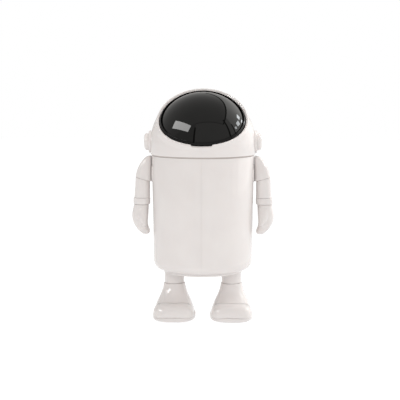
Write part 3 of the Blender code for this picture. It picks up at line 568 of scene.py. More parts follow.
def make_bucket():
    """The grey pail: a rolled rim on the ledge, a slightly drawn-in wall and a rounded foot."""
    bottom_z = low("inner_bucket").z
    rim_top = high("inner_bucket").z
    rim_r = high("inner_bucket").x
    rim_bottom = rim_top - 3.0 * MM
    top_r = 92.0 * MM
    foot_r = 78.0 * MM
    wall = 2.0 * MM
    fillet = 8.0 * MM
    edge = 1.0 * MM
    outline = [(0.0, bottom_z + wall)]
    outline += arc((foot_r - fillet, bottom_z + fillet), fillet - wall, -90, 0, 8)
    outline.append((top_r - wall, rim_top - edge))
    outline += arc((top_r - wall + edge, rim_top - edge), edge, 180, 90, 4)
    outline += arc((rim_r - edge, rim_top - edge), edge, 90, 0, 4)
    outline.append((rim_r, rim_bottom))
    outline.append((top_r, rim_bottom))
    outline += arc((foot_r - fillet, bottom_z + fillet), fillet, 0, -90, 8)
    outline.append((0.0, bottom_z))
    finish_piece(turned("pail", outline, BUCKET_GREY), "bin_body", "bucket_grey", "inner_bucket")


# ---- legs and boots


def leg_centre(side_name):
    return (low(f"{side_name}_leg").x + high(f"{side_name}_leg").x) / 2


def make_leg(side_name):
    node = f"{side_name}_leg"
    centre_x = leg_centre(side_name)
    top_z = high(node).z
    radius = high(node).y
    line_z = high(f"{side_name}_boot").z + 0.3 * MM
    plug_r = radius - 3.0 * MM
    edge = 0.35 * MM
    outline = [(0.0, top_z), (radius, top_z)]
    outline += arc((radius - edge, line_z + edge), edge, 0, -90, 4)
    outline.append((plug_r, line_z))
    outline.append((plug_r, low(node).z))
    outline.append((0.0, low(node).z))
    leg = turned(f"{side_name}_leg_tube", outline, BOOT_WHITE, 96)
    leg.location.x = centre_x
    bpy.context.view_layer.update()
    holes = []
    for place in ("front", "back"):
        screw = f"{side_name}_leg_{place}_screw"
        middle = (low(screw) + high(screw)) / 2
        start = Vector((middle.x - centre_x, middle.y, low(screw).z - 0.5 * MM)) + leg.location
        end = Vector((start.x, start.y, top_z + 5.0 * MM))
        holes.append(bar(f"{screw}_hole", 2.3 * MM, start, end, steps=24))
    cut(leg, holes)
    finish_piece(leg, "bin_body", "boot_white", node)


def foot_rings(side, sections, squareness=2.3):
    """Level rings from (half width, front y, back y, z) sections in millimetres."""
    centre_x = side * abs(leg_centre("left"))
    rings = []
    for half, front, back, z in sections:
        x_range = (centre_x - half * MM, centre_x + half * MM)
        rings.append(oval(x_range, (front * MM, back * MM), z * MM, squareness))
    return rings


def boot_sections(side_name):
    front = low(f"{side_name}_sole").y / MM + 1.0
    heel = high(f"{side_name}_sole").y / MM - 1.0
    bottom = low(f"{side_name}_boot").z / MM
    top = high(f"{side_name}_boot").z / MM
    return [
        (40.0, front + 2.0, heel, bottom),
        (40.3, front + 1.0, heel, 16.0),
        (36.5, front + 6.0, 42.0, 27.0),
        (32.0, front + 22.0, 37.0, 37.0),
        (27.5, -34.0, 31.0, 46.0),
        (23.5, -25.5, 25.5, 57.0),
        (20.8, -20.8, 20.8, top),
    ]


def toe_rings(side_name, side, growth):
    """Arched rings from the cap's back edge to its rounded nose."""
    front = low(f"{side_name}_toe_cap").y / MM
    floor = low(f"{side_name}_toe_cap").z - growth * MM
    sections = [
        (TOE_BACK_Y, 40.0, 36.5),
        (-44.0, 40.0, 36.5),
        (-58.0, 37.5, 34.1),
        (-66.0, 31.5, 29.2),
        (front, 23.0, 21.8),
    ]
    rings = []
    for y, half, top in flowing(sections, 5):
        ring = []
        for step in range(49):
            angle = math.pi * step / 48
            reach = math.copysign(abs(math.cos(angle)) ** TOE_ARCH_POWER, math.cos(angle))
            rise = math.sin(angle) ** TOE_ARCH_POWER
            x = side * abs(leg_centre("left")) + (half + growth) * MM * reach
            z = floor + (top * MM + growth * MM - floor) * rise
            ring.append(Vector((x, (y - growth) * MM, z)))
        rings.append(ring)
    if growth:
        rings.insert(0, [point + Vector((0.0, 2 * growth * MM, 0.0)) for point in rings[0]])
    return rings


def make_boot(side_name, side):
    """The flared upper: a hollow shell with a socket for the leg and a recess for the toe cap."""
    boot = skinned(f"{side_name}_boot_upper", foot_rings(side, flowing(boot_sections(side_name))), BOOT_WHITE)
    plug_r = high(f"{side_name}_leg").y - 2.7 * MM
    centre_x = leg_centre(side_name)
    socket = bar(f"{side_name}_socket", plug_r, (centre_x, 0.0, 45.0 * MM), (centre_x, 0.0, 90.0 * MM))
    recess = skinned(f"{side_name}_recess", toe_rings(side_name, side, 0.35))
    cut(boot, [socket, recess])
    soften(boot, 0.45 * MM)
    finish_piece(boot, "bin_body", "boot_white", f"{side_name}_boot")


def make_toe_cap(side_name, side):
    cap = skinned(f"{side_name}_toe", toe_rings(side_name, side, 0.0), BOOT_WHITE)
    soften(cap, 1.0 * MM, 4)
    finish_piece(cap, "bin_body", "boot_white", f"{side_name}_toe_cap")


def slab(name, side, node, profile, material):
    """A level slab that fills a node's box, from (inset, z) steps in millimetres."""
    front = low(node).y / MM
    back = high(node).y / MM
    half = (high(node).x - low(node).x) / MM / 2
    sections = [(half - inset, front + inset, back - inset, z) for inset, z in profile]
    return skinned(name, foot_rings(side, sections, SOLE_SQUARENESS), material)


def make_sole(side_name, side):
    """The sole slab with a rounded edge and a welt groove just under its top."""
    node = f"{side_name}_sole"
    base = low(node).z / MM
    top = high(node).z / MM
    lower_edge = 4.2
    upper_edge = 1.2
    profile = arc((lower_edge, base + lower_edge), lower_edge, -90, -180, 8)
    profile += [(0.0, top - 2.6), (0.2, top - 2.4), (0.2, top - 2.2), (0.0, top - 2.0)]
    profile += arc((upper_edge, top - upper_edge), upper_edge, 180, 90, 5)
    sole = slab(f"{side_name}_sole_slab", side, node, profile, BOOT_WHITE)
    finish_piece(sole, "bin_body", "boot_white", node)


def make_foot_pad(side_name, side):
    """The rubber tread, with its edge rounded."""
    node = f"{side_name}_foot_pad"
    profile = [(0.8, 0.0), (0.2, 0.3), (0.0, 0.8), (0.0, high(node).z / MM)]
    pad = slab(f"{side_name}_tread", side, node, profile, FOOT_RUBBER)
    finish_piece(pad, "bin_body", "foot_rubber", node)


# ---- helmet lid


def helmet_outline(growth, wall):
    outer = HELMET_R + growth
    centre = (0.0, HELMET_CENTRE.z)
    outline = [(0.0, HELMET_CENTRE.z + outer)]
    outline += arc(centre, outer, 87, 0, 29)
    if wall:
        edge = 0.8 * MM
        outline += arc((outer - edge, HELMET_BOTTOM_Z + edge), edge, 0, -90, 4)
        outline.append((outer - wall, HELMET_BOTTOM_Z))
        outline += arc(centre, outer - wall, 0, 87, 29)
        outline.append((0.0, HELMET_CENTRE.z + outer - wall))
    else:
        outline.append((outer, HELMET_BOTTOM_Z))
        outline.append((0.0, HELMET_BOTTOM_Z))
    return outline


def make_helmet():
    helmet = turned("helmet", helmet_outline(0.0, HELMET_WALL), LID_WHITE)
    cutters = [opening_prism(RIM_WIDTH + 0.1 * MM, 20.0 * MM, 120.0 * MM)]
    for side_name, side in SIDES:
        near = (side * 90.0 * MM, 0.0, EAR_Z)
        far = (side * 110.0 * MM, 0.0, EAR_Z)
        cutters.append(bar(f"{side_name}_ear_hole", EAR_STUB_R + 0.3 * MM, near, far))
    cut(helmet, cutters)
    finish_piece(helmet, "helmet_lid", "lid_white", "helmet_shell")


def ease(value):
    """Ease from 0 to 1."""
    value = min(1.0, max(0.0, value))
    return value * value * (3.0 - 2.0 * value)


def skirt_radius(growth, angle, radius):
    """Distance from the helmet's centre to its surface, which is a straight skirt below the centre."""
    drop = max(0.0, HELMET_CENTRE.z - opening_point(growth, angle, radius).z)
    return math.hypot(radius, drop)


def rim_section(angle):
    """A rounded lip flaring down into the helmet, a flange behind it and a seat for the visor's front."""
    front_share = min(1.0, max(0.0, -math.sin(angle) / 0.7))
    top_share = ease((math.sin(angle) + 1.0) / 2.0)
    seat = RIM_SEAT_DEPTHS[0] + (RIM_SEAT_DEPTHS[1] - RIM_SEAT_DEPTHS[0]) * ease(front_share)
    off_axis = (OPENING.inverted() @ opening_point(RIM_WIDTH, angle, HELMET_R)).xy.length
    steepness = math.sqrt(1.0 - (off_axis / HELMET_R) ** 2)
    flange = RIM_WIDTH + (0.6 + 4.5 * (1.0 - front_share) * steepness) * MM
    flange_top = HELMET_R - HELMET_WALL - 1.1 * MM
    lip = RIM_LIP_FRONT_R + (RIM_LIP_TOP_R - RIM_LIP_FRONT_R) * top_share
    crest = RIM_CREST * steepness
    flare = RIM_WIDTH + (RIM_FLARES[0] + (RIM_FLARES[1] - RIM_FLARES[0]) * top_share) * steepness
    corners = [(0.0, RIM_INNER_R - RIM_BEAD), (0.0, RIM_SEAT_R), (-seat, RIM_SEAT_R), (-seat, FLANGE_BASE_R)]
    corners += [(flange, FLANGE_BASE_R), (flange, flange_top), (RIM_WIDTH, flange_top)]
    corners.append((RIM_WIDTH, skirt_radius(RIM_WIDTH, angle, HELMET_R)))
    for step in range(RIM_FACE_STEPS):
        climb = step / RIM_FACE_STEPS
        growth = flare + (crest - flare) * climb
        ground = skirt_radius(growth, angle, HELMET_R) + 0.1 * MM
        corners.append((growth, ground + (lip - ground) * ease(climb)))
    for step in range(RIM_FACE_STEPS):
        share = 1.0 - step / RIM_FACE_STEPS
        rise = share * (1.3 - 0.3 * share)
        corners.append((RIM_BEAD + (crest - RIM_BEAD) * share, RIM_INNER_R + (lip - RIM_INNER_R) * rise))
    for turn in (90.0, 67.5, 45.0, 22.5):
        bend = math.radians(turn)
        corners.append((RIM_BEAD * (1.0 - math.cos(bend)), RIM_INNER_R - RIM_BEAD * (1.0 - math.sin(bend))))
    return corners


def make_rim():
    """The raised white rim, with the finger notch cut into its front."""
    rim = mesh_object("visor_surround", opening_ring(rim_section), LID_WHITE)
    rings = []
    for across, lift in NOTCH_STEPS:
        ring = []
        sill = ((NOTCH_BACK_Y, 351.0 + lift), (NOTCH_FRONT_Y, 343.8 + lift))
        for y, z in sill + ((NOTCH_FRONT_Y, NOTCH_TOP), (NOTCH_BACK_Y, NOTCH_TOP)):
            ring.append(Vector((across * MM, y * MM, z * MM)))
        rings.append(ring)
    cut(rim, [skinned("notch_cutter", rings)])
    finish_piece(rim, "helmet_lid", "lid_white", "visor_rim")


def make_locating_ring():
    node = "lid_locating_ring"
    flange_r = high(node).x
    flange_top = high(node).z
    flange_bottom = BODY_TOP_Z + 0.3 * MM
    spigot_r = BODY_TOP_R - BODY_WALL - 0.5 * MM
    spigot_bottom = low(node).z
    edge = 0.5 * MM
    outline = [(flange_r, flange_top), (flange_r, flange_bottom), (spigot_r, flange_bottom)]
    outline.append((spigot_r - 0.4 * MM, spigot_bottom + edge))
    outline.append((spigot_r - 0.4 * MM - edge, spigot_bottom))
    outline.append((spigot_r - 2.0 * MM, spigot_bottom))
    outline.append((spigot_r - 2.0 * MM, flange_top))
    # The locating ring is a real part, and its darker grey is painted shade standing in for the parting
    # groove's shadow.
    finish_piece(turned("seam_ring", outline, SEAM_SHADE_GREY), "helmet_lid", "seam_ring_grey", node)


def make_ear(side_name, side):
    """A round base with a softened edge that follows the helmet's wall, and a domed cap on it."""
    edge = 1.4 * MM
    depth = EAR_BASE_X - 88.0 * MM
    outline = [(0.0, depth), (EAR_BASE_R - edge, depth)]
    outline += arc((EAR_BASE_R - edge, depth - edge), edge, 80, 0, 5)
    outline.append((EAR_BASE_R, 0.0))
    outline.append((0.0, 0.0))
    base = turned(f"{side_name}_ear_disc", outline, LID_WHITE, 96)
    turn = Matrix.Rotation(side * math.pi / 2, 4, "Y")
    base.data.transform(Matrix.Translation((side * 88.0 * MM, 0.0, EAR_Z)) @ turn)
    cut(base, [turned(f"{side_name}_ear_seat", helmet_outline(0.15 * MM, 0.0))])
    finish_piece(base, "helmet_lid", "lid_white", f"{side_name}_ear_base")

    start = EAR_BASE_X + 0.15 * MM
    height = EAR_CAP_X - start
    rounding = 5.0 * MM
    crown = 0.7 * MM
    outline = [(0.0, height), (5.0 * MM, height - 0.05 * MM), (9.0 * MM, height - 0.25 * MM)]
    outline += arc((EAR_CAP_R - rounding, height - crown - rounding), rounding, 78, 0, 10)
    outline.append((EAR_CAP_R, 0.6 * MM))
    outline.append((EAR_CAP_R - 0.6 * MM, 0.0))
    outline.append((0.0, 0.0))
    cap = turned(f"{side_name}_ear_dome", outline, LID_WHITE, 96)
    cap.data.transform(Matrix.Translation((side * start, 0.0, EAR_Z)) @ turn)
    finish_piece(cap, "helmet_lid", "lid_white", f"{side_name}_ear_cap")


# ---- visor


def border_section(_angle):
    """The border's cross section, the same at every angle: a flat face between two soft corners."""
    outside = -VISOR_GAP
    inside = outside - BORDER_WIDTH
    soft = 0.6 * MM
    corners = arc((outside - soft, VISOR_R - soft), soft, 0, 90, 4)
    corners += arc((inside + soft, VISOR_R - soft), soft, 90, 180, 4)
    return corners + [(inside, BORDER_BASE_R), (outside, BORDER_BASE_R)]


def make_visor_border():
    border = mesh_object("visor_border", opening_ring(border_section), BORDER_BLACK)
    finish_piece(border, "visor", "visor_border_black", "visor_frame")


def rib_rings(side):
    """Outlines of the rib under the dome, one for each of its faces."""
    steps = 24
    front = -30.0 * MM
    back = 41.0 * MM
    rings = []
    for across in RIB_FACES:
        outer = []
        inner = []
        for step in range(steps + 1):
            up = front + (back - front) * step / steps
            flat = across * across + up * up
            outer.append(Vector((side * across, up, math.sqrt(RIB_OUTER_R ** 2 - flat))))
            inner.append(Vector((side * across, up, math.sqrt(RIB_INNER_R ** 2 - flat))))
        rings.append([OPENING @ point for point in outer + inner[::-1]])
    return rings


def rib_neck(side):
    rings = []
    inset = 0.4 * MM
    for across in (RIB_FACES[0] + inset, RIB_FACES[1] - inset):
        ring = []
        for up, out in ((-0.9, 0.0), (0.9, 0.0), (1.2, 11.0), (-1.2, 11.0)):
            place = Vector((side * across, HINGE_UP + up * RIB_EYE_R, HINGE_OUT + out * MM))
            ring.append(OPENING @ place)
        rings.append(ring)
    return rings


def dome_skins():
    """The dome's outer skin with a rolled edge, and its inner skin."""
    growth = -(VISOR_GAP + BORDER_WIDTH + 0.1 * MM)
    edge = 0.8 * MM
    half = OPENING_HALF_WIDTH + growth
    levels = [(0.05 + 0.93 * step / 28, DOME_R) for step in range(29)]
    for across, radius in arc((half - edge, DOME_R - edge), edge, 80, 0, 5):
        levels.append((across / half, radius))
    levels.append((1.0, DOME_INNER_R))
    levels += [(1.0 - 0.95 * step / 12, DOME_INNER_R) for step in range(1, 13)]
    rings = []
    for share, radius in levels:
        rings.append([opening_point(growth, angle, radius, share) for angle in ROUND_ANGLES])
    bm = skin(rings)
    for vert in bm.verts:
        if len(vert.link_edges) == ROUND_STEPS:
            outward = vert.co - HELMET_CENTRE
            outer = outward.length > (DOME_R + DOME_INNER_R) / 2
            vert.co = HELMET_CENTRE + outward.normalized() * (DOME_R if outer else DOME_INNER_R)
    return bm


def make_visor_dome():
    """The mirror-black dome, with the two ribs behind it whose eyes take the hinge pins."""
    dome = mesh_object("visor_glass", dome_skins(), VISOR_BLACK)
    additions = []
    holes = []
    for side_name, side in SIDES:
        inner = OPENING @ Vector((side * (RIB_FACES[0] - 0.4 * MM), HINGE_UP, HINGE_OUT))
        outer = OPENING @ Vector((side * (RIB_FACES[1] + 0.4 * MM), HINGE_UP, HINGE_OUT))
        reach = Vector((side * 6.0 * MM, 0.0, 0.0))
        additions.append(skinned(f"{side_name}_rib", rib_rings(side)))
        additions.append(skinned(f"{side_name}_neck", rib_neck(side)))
        additions.append(bar(f"{side_name}_eye", RIB_EYE_R, inner, outer))
        holes.append(bar(f"{side_name}_eye_hole", 2.7 * MM, inner - reach, outer + reach))
    cut(dome, additions, "UNION")
    cut(dome, holes)
    finish_piece(dome, "visor", "visor_black", "visor_dome")


# ---- arms


def seam_ring(side, inner, outer, half_depth, drop, squareness):
    """The slanting ring where shoulder and sleeve meet."""
    ring = oval((inner, outer), (-half_depth, half_depth), SEAM_Z - drop, squareness, SEAM_SLOPE, SEAM_X)
    return on_side(ring, side)


def make_shoulder(side_name, side):
    node = f"{side_name}_shoulder"
    inner = min(abs(low(node).x), abs(high(node).x)) / MM
    top = high(node).z / MM
    sections = [
        (inner + 1.6, 104.8, -2.5, 2.5, top),
        (inner + 0.7, 108.6, -7.4, 7.4, top - 0.6),
        (inner + 0.2, 112.6, -10.5, 10.5, top - 2.2),
        (inner, 117.8, -13.2, 13.2, top - 6.8),
        (inner, 122.8, -15.0, 15.0, top - 13.4),
        (inner, 127.4, -16.2, 16.2, top - 21.0),
        (inner, 131.2, -16.9, 16.9, top - 30.2),
    ]
    rings = mm_rings(flowing(sections), side, 2.8)
    rings.append(seam_ring(side, inner * MM, 133.3 * MM, 17.0 * MM, -2.0 * MM, 2.8))
    rings.append(seam_ring(side, inner * MM, 133.5 * MM, 17.0 * MM, -0.6 * MM, 2.8))
    rings.append(seam_ring(side, (inner + 0.6) * MM, 132.9 * MM, 16.4 * MM, 0.0, 2.8))
    shoulder = skinned(f"{side_name}_shoulder_cap", rings, ARM_WHITE)
    pivot = joint_place(f"{side_name}_arm_swing")
    radius = high(f"{side_name}_arm_pivot").y + 0.3 * MM
    start = Vector((pivot.x - side * 2.0 * MM, 0.0, pivot.z))
    end = Vector((pivot.x + side * 14.0 * MM, 0.0, pivot.z))
    cut(shoulder, [bar(f"{side_name}_socket_cutter", radius, start, end)])
    finish_piece(shoulder, f"{side_name}_arm", "arm_white", node)


def make_sleeve(side_name, side):
    node = f"{side_name}_sleeve"
    bottom = low(node).z / MM
    rings = [seam_ring(side, 106.0 * MM, 133.0 * MM, 16.0 * MM, 0.4 * MM, 2.6)]
    rings.append(seam_ring(side, 105.5 * MM, 133.6 * MM, 16.6 * MM, 1.1 * MM, 2.6))
    sections = [
        (105.4, 134.5, -16.3, 16.3, 264.0),
        (105.4, 135.0, -16.2, 16.2, 256.0),
        (105.4, 135.8, -16.1, 16.1, 248.0),
        (105.4, 136.6, -16.2, 16.2, bottom),
    ]
    rings += mm_rings(flowing(sections), side)
    sleeve = skinned(f"{side_name}_sleeve_tube", rings, ARM_WHITE)
    finish_piece(sleeve, f"{side_name}_arm", "arm_white", node)


def make_cuff(side_name, side):
    """The wrist ring, a soft roll round the end of the sleeve."""
    node = f"{side_name}_cuff"
    inner = min(abs(low(node).x), abs(high(node).x)) / MM
    outer = max(abs(low(node).x), abs(high(node).x)) / MM
    half_depth = high(node).y / MM
    bottom = low(node).z / MM
    top = high(node).z / MM
    round_off = 1.8
    profile = arc((round_off, top - round_off), round_off, 90, 180, 8)
    profile += arc((round_off, bottom + round_off), round_off, 180, 270, 8)
    sections = []
    for inset, z in profile:
        sections.append((inner + inset, outer - inset, inset - half_depth, half_depth - inset, z))
    cuff = skinned(f"{side_name}_wrist_ring", mm_rings(sections, side), ARM_WHITE)
    finish_piece(cuff, f"{side_name}_arm", "arm_white", node)


def make_glove(side_name, side):
    """A mitten whose fingers curl towards the body, with a thumb laid across its front."""
    node = f"{side_name}_glove"
    top = high(node).z / MM
    palm = [
        (107.8, 137.2, -15.5, 15.5, top),
        (108.2, 138.8, -16.2, 16.2, 218.7),
        (108.7, 140.9, -17.0, 17.0, 208.0),
        (109.4, 140.5, -17.2, 17.2, 197.8),
        (109.6, 137.6, -16.8, 16.8, 189.0),
        (108.8, 134.4, -15.8, 15.8, 183.0),
        (106.2, 129.8, -13.6, 13.6, 176.2),
        (105.8, 125.2, -10.8, 10.8, 171.8),
        (107.4, 121.6, -7.4, 7.4, 168.7),
        (110.6, 117.5, -4.0, 4.0, 166.8),
    ]
    thumb = [
        (111.5, 128.0, -14.2, -6.0, 225.0),
        (109.8, 131.0, -18.4, -6.0, 215.0),
        (110.0, 130.3, -20.8, -6.0, 204.5),
        (110.3, 127.3, -21.6, -6.0, 197.0),
        (110.6, 123.5, -21.0, -6.0, 191.0),
        (111.0, 119.3, -19.2, -6.0, 186.6),
        (112.3, 116.0, -16.4, -7.0, 184.2),
    ]
    glove = skinned(f"{side_name}_mitten", mm_rings(flowing(palm), side, 2.4), ARM_WHITE)
    thumb_form = skinned(f"{side_name}_thumb_form", mm_rings(flowing(thumb), side, 2.1))
    cut(glove, [thumb_form], "UNION")
    remesh = glove.modifiers.new("one_skin", "REMESH")
    remesh.mode = "VOXEL"
    remesh.voxel_size = 0.7 * MM
    relax = glove.modifiers.new("relax", "SMOOTH")
    relax.factor = 0.5
    relax.iterations = 5
    settle(glove)
    glove.data.shade_smooth()
    glove.data.materials.clear()
    glove.data.materials.append(ARM_WHITE)
    finish_piece(glove, f"{side_name}_arm", "arm_white", node)


# ---- kept CAD pieces


def dress_kept_nodes():
    """The hidden fittings keep their CAD shape and get their finished material."""
    for name, node in frame["nodes"].items():
        if name.endswith(("_screw", "_pin", "_pivot", "_clip")):
            dress(node, ZINC)
        elif name.endswith("_visor_bearing"):
            dress(node, LID_WHITE)


def dress(node, material):
    if not node.material_slots:
        node.data.materials.append(material)
    for material_slot in node.material_slots:
        material_slot.material = material


# ---- stage, light and camera

CAMERA_DISTANCE = 2.412
CAMERA_HEIGHT = 0.497
CAMERA_AZIMUTH = math.radians(1.5)
CAMERA_PITCH = math.radians(6.2)
CAMERA_YAW = math.radians(0.14)
FOCAL_MM = 109.8
SENSOR_MM = 36.0
CAMERA_RANGE = 50.0

CEILING_HEIGHT = 0.73
CEILING_LEVEL = 0.63
CEILING_FRONT_EDGE = (12.0, 1.22)
CEILING_SIDE_EDGE = (112.0, 1.285)
ROOM_CORNERS = ((68.0, 2.2, CEILING_HEIGHT), (-19.0, 2.0, 0.6), (84.0, 1.6, 0.55))
LINE_DARKNESS = 0.95
WALL_TOP_LEVEL = 2.5
WALL_LEVELS = (
    (-179.9, 0.62), (-150.0, 0.5), (-19.0, 0.5), (-18.8, 0.7), (68.0, 0.7), (68.2, 0.95), (84.0, 0.95),
    (84.2, 1.6), (135.0, 1.6), (160.0, 1.0), (179.9, 0.62),
)
FLOOR_BASE = 0.2
FLOOR_GLOW = 0.74
FLOOR_SEEN = 0.86

LIGHT_DISTANCE = 2.2
WARM = (1.0, 0.99, 0.98)
DAYLIGHT = (0.93, 0.97, 1.0)
LIT_ONLY = (True, False)
MIRRORED_ONLY = (False, True)
LEFT_BOX_DIRECTION = (-0.691, -0.451, 0.566)
LEFT_BOX_SIZE = (1.63, 0.585)
WINDOW_RADIANCE = 9.0
WINDOW_PANES = (
    ("window_upper", 121.0, 31.0, (0.34, 0.20)),
    ("window_middle", 104.0, 27.5, (0.42, 0.22)),
    ("window_lower", 122.0, 23.0, (0.30, 0.16)),
    ("window_left", 90.0, 24.5, (0.20, 0.14)),
)


def make_camera():
    camera_data = bpy.data.cameras.new("camera")
    camera_data.lens = FOCAL_MM
    camera_data.sensor_width = SENSOR_MM
    camera_data.clip_end = CAMERA_RANGE
    camera = bpy.data.objects.new("camera", camera_data)
    across = CAMERA_DISTANCE * math.sin(CAMERA_AZIMUTH)
    camera.location = (across, -CAMERA_DISTANCE * math.cos(CAMERA_AZIMUTH), CAMERA_HEIGHT)
    camera.rotation_euler = (math.pi / 2 - CAMERA_PITCH, 0.0, CAMERA_AZIMUTH + CAMERA_YAW)
    bpy.context.scene.collection.objects.link(camera)
    bpy.context.scene.camera = camera


def towards(bearing_deg, elevation_deg):
    """The direction at a bearing from the front (rightwards positive) and an elevation."""
    bearing = math.radians(bearing_deg)
    elevation = math.radians(elevation_deg)
    level = math.cos(elevation)
    return Vector((math.sin(bearing) * level, -math.cos(bearing) * level, math.sin(elevation)))


def softbox(name, direction, size, radiance, colour, shows=(True, True)):
    """A rectangular light facing the helmet's centre; shows says if it lights and if it is mirrored."""
    light = bpy.data.lights.new(name, "AREA")
    light.shape = "RECTANGLE"
    light.size = size[0]
    light.size_y = size[1]
    light.energy = radiance * math.pi * size[0] * size[1]
    light.color = colour
    lamp = bpy.data.objects.new(name, light)
    outward = Vector(direction).normalized()
    lamp.location = HELMET_CENTRE + outward * LIGHT_DISTANCE
    lamp.rotation_euler = outward.to_track_quat("Z", "Y").to_euler()
    lamp.visible_diffuse, lamp.visible_glossy = shows
    bpy.context.scene.collection.objects.link(lamp)


class RoomPattern:
    """A plain room as the light sees it: even walls, a ceiling, and the dark lines where they meet."""

    def __init__(self, tree):
        self.tree = tree
        split = tree.nodes.new("ShaderNodeSeparateXYZ")
        tree.links.new(tree.nodes.new("ShaderNodeTexCoord").outputs["Generated"], split.inputs["Vector"])
        self.height = split.outputs["Z"]
        self.across = split.outputs["X"]
        self.forwards = self.math("MULTIPLY", split.outputs["Y"], -1.0)
        self.bearing = self.math("ARCTAN2", self.across, self.forwards)

    def math(self, operation, *values):
        node = self.tree.nodes.new("ShaderNodeMath")
        node.operation = operation
        for index, value in enumerate(values):
            if isinstance(value, float):
                node.inputs[index].default_value = value
            else:
                self.tree.links.new(value, node.inputs[index])
        return node.outputs["Value"]

    def above_edge(self, bearing_deg, slope):
        """How far a direction lies above the ceiling's edge over the wall at a bearing."""
        bearing = math.radians(bearing_deg)
        share = self.math("MULTIPLY", self.across, slope * math.sin(bearing))
        reach = self.math("MULTIPLY_ADD", self.forwards, slope * math.cos(bearing), share)
        return self.math("SUBTRACT", self.height, reach)

    def upright_line(self, bearing_deg, half_width_deg, top):
        line = self.math("COMPARE", self.bearing, math.radians(bearing_deg), math.radians(half_width_deg))
        return self.math("MULTIPLY", line, self.math("LESS_THAN", self.height, top))

    def wall_level(self):
        """How bright the wall is at each bearing: dimmer on the left, bright windows' side on the right."""
        node = self.tree.nodes.new("ShaderNodeValToRGB")
        stops = node.color_ramp.elements
        stops.remove(stops[1])
        for bearing_deg, level in WALL_LEVELS:
            stop = stops.new(0.5 + bearing_deg / 360.0)
            share = level / WALL_TOP_LEVEL
            stop.color = (share, share, share, 1.0)
        stops.remove(stops[0])
        turn = self.math("MULTIPLY_ADD", self.bearing, 0.5 / math.pi, 0.5)
        self.tree.links.new(turn, node.inputs["Fac"])
        return self.math("MULTIPLY", node.outputs["Color"], WALL_TOP_LEVEL)

    def strength(self):
        """The room's brightness in every direction."""
        front_edge = self.above_edge(*CEILING_FRONT_EDGE)
        side_edge = self.above_edge(*CEILING_SIDE_EDGE)
        ceiling = self.math("GREATER_THAN", self.math("MINIMUM", front_edge, side_edge), 0.0)
        right_half = self.math("GREATER_THAN", self.bearing, math.radians(-20.0))
        front_line = self.math("MULTIPLY", self.math("COMPARE", front_edge, -0.02, 0.03), right_half)
        front_line = self.math("MULTIPLY", front_line, self.math("GREATER_THAN", side_edge, 0.0))
        side_line = self.math("MULTIPLY", self.math("COMPARE", side_edge, 0.0, 0.035), right_half)
        side_line = self.math("MULTIPLY", side_line, self.math("GREATER_THAN", front_edge, 0.0))
        lines = self.math("MAXIMUM", side_line, self.math("MULTIPLY", front_line, 0.45))
        for bearing_deg, half_width_deg, top in ROOM_CORNERS:
            lines = self.math("MAXIMUM", lines, self.upright_line(bearing_deg, half_width_deg, top))
        walls = self.math("MULTIPLY", self.wall_level(), self.math("SUBTRACT", 1.0, ceiling))
        level = self.math("MULTIPLY_ADD", ceiling, CEILING_LEVEL, walls)
        return self.math("MULTIPLY", level, self.math("MULTIPLY_ADD", lines, -LINE_DARKNESS, 1.0))


def make_world():
    """A white studio: full white behind the object, and a softer, plain room as its light."""
    world = bpy.data.worlds.new("studio")
    bpy.context.scene.world = world
    world.use_nodes = True
    tree = world.node_tree
    tree.nodes.clear()
    output = tree.nodes.new("ShaderNodeOutputWorld")
    seen = tree.nodes.new("ShaderNodeBackground")
    seen.inputs["Color"].default_value = (1.0, 1.0, 1.0, 1.0)
    surround = tree.nodes.new("ShaderNodeBackground")
    surround.inputs["Color"].default_value = (1.0, 0.985, 0.96, 1.0)
    tree.links.new(RoomPattern(tree).strength(), surround.inputs["Strength"])
    path = tree.nodes.new("ShaderNodeLightPath")
    mix = tree.nodes.new("ShaderNodeMixShader")
    tree.links.new(path.outputs["Is Camera Ray"], mix.inputs["Fac"])
    tree.links.new(surround.outputs["Background"], mix.inputs[1])
    tree.links.new(seen.outputs["Background"], mix.inputs[2])
    tree.links.new(mix.outputs["Shader"], output.inputs["Surface"])


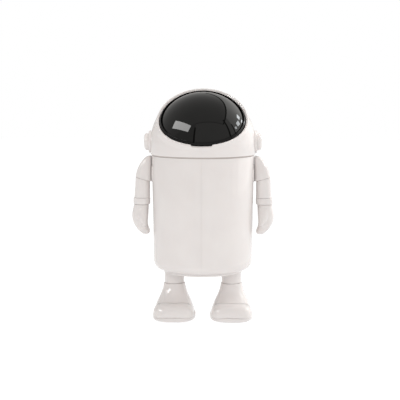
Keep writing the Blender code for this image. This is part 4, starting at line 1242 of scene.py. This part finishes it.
def make_floor():
    """A plain white floor that looks as bright as the backdrop and returns a softer light."""
    bm = bmesh.new()
    bmesh.ops.create_grid(bm, x_segments=2, y_segments=2, size=6.0)
    material = bpy.data.materials.new("pale_floor")
    material.use_nodes = True
    tree = material.node_tree
    shader = tree.nodes["Principled BSDF"]
    shader.inputs["Base Color"].default_value = (FLOOR_BASE, FLOOR_BASE, FLOOR_BASE, 1.0)
    shader.inputs["Roughness"].default_value = 0.9
    shader.inputs["Emission Color"].default_value = (1.0, 1.0, 1.0, 1.0)
    path = tree.nodes.new("ShaderNodeLightPath")
    glow = tree.nodes.new("ShaderNodeMapRange")
    glow.inputs["To Min"].default_value = FLOOR_GLOW
    glow.inputs["To Max"].default_value = FLOOR_SEEN
    tree.links.new(path.outputs["Is Camera Ray"], glow.inputs["Value"])
    tree.links.new(glow.outputs["Result"], shader.inputs["Emission Strength"])
    floor = mesh_object("floor", bm, material)
    floor.location.z = -0.2 * MM


def make_lights():
    """A softbox on the left, whose mirror image and light are set apart, soft fills and window panes."""
    softbox("left_softbox", LEFT_BOX_DIRECTION, LEFT_BOX_SIZE, 10.0, WARM, MIRRORED_ONLY)
    softbox("left_glow", LEFT_BOX_DIRECTION, LEFT_BOX_SIZE, 2.9, WARM, LIT_ONLY)
    softbox("front_fill", towards(0.0, 20.0), (1.4, 1.0), 1.7, WARM, LIT_ONLY)
    softbox("top_right_fill", towards(120.0, 55.0), (1.2, 1.2), 2.4, WARM, LIT_ONLY)
    softbox("top_fill", towards(180.0, 78.0), (1.2, 1.2), 3.0, WARM, LIT_ONLY)
    for name, bearing, elevation, size in WINDOW_PANES:
        softbox(name, towards(bearing, elevation), size, WINDOW_RADIANCE, DAYLIGHT)


make_body()
make_base()
make_bucket()
make_helmet()
make_rim()
make_locating_ring()
make_visor_border()
make_visor_dome()
for side_name, side in SIDES:
    make_leg(side_name)
    make_boot(side_name, side)
    make_toe_cap(side_name, side)
    make_sole(side_name, side)
    make_foot_pad(side_name, side)
    make_ear(side_name, side)
    make_shoulder(side_name, side)
    make_sleeve(side_name, side)
    make_cuff(side_name, side)
    make_glove(side_name, side)
dress_kept_nodes()

make_floor()
make_world()
make_lights()
make_camera()
bpy.context.scene.view_settings.view_transform = "Standard"
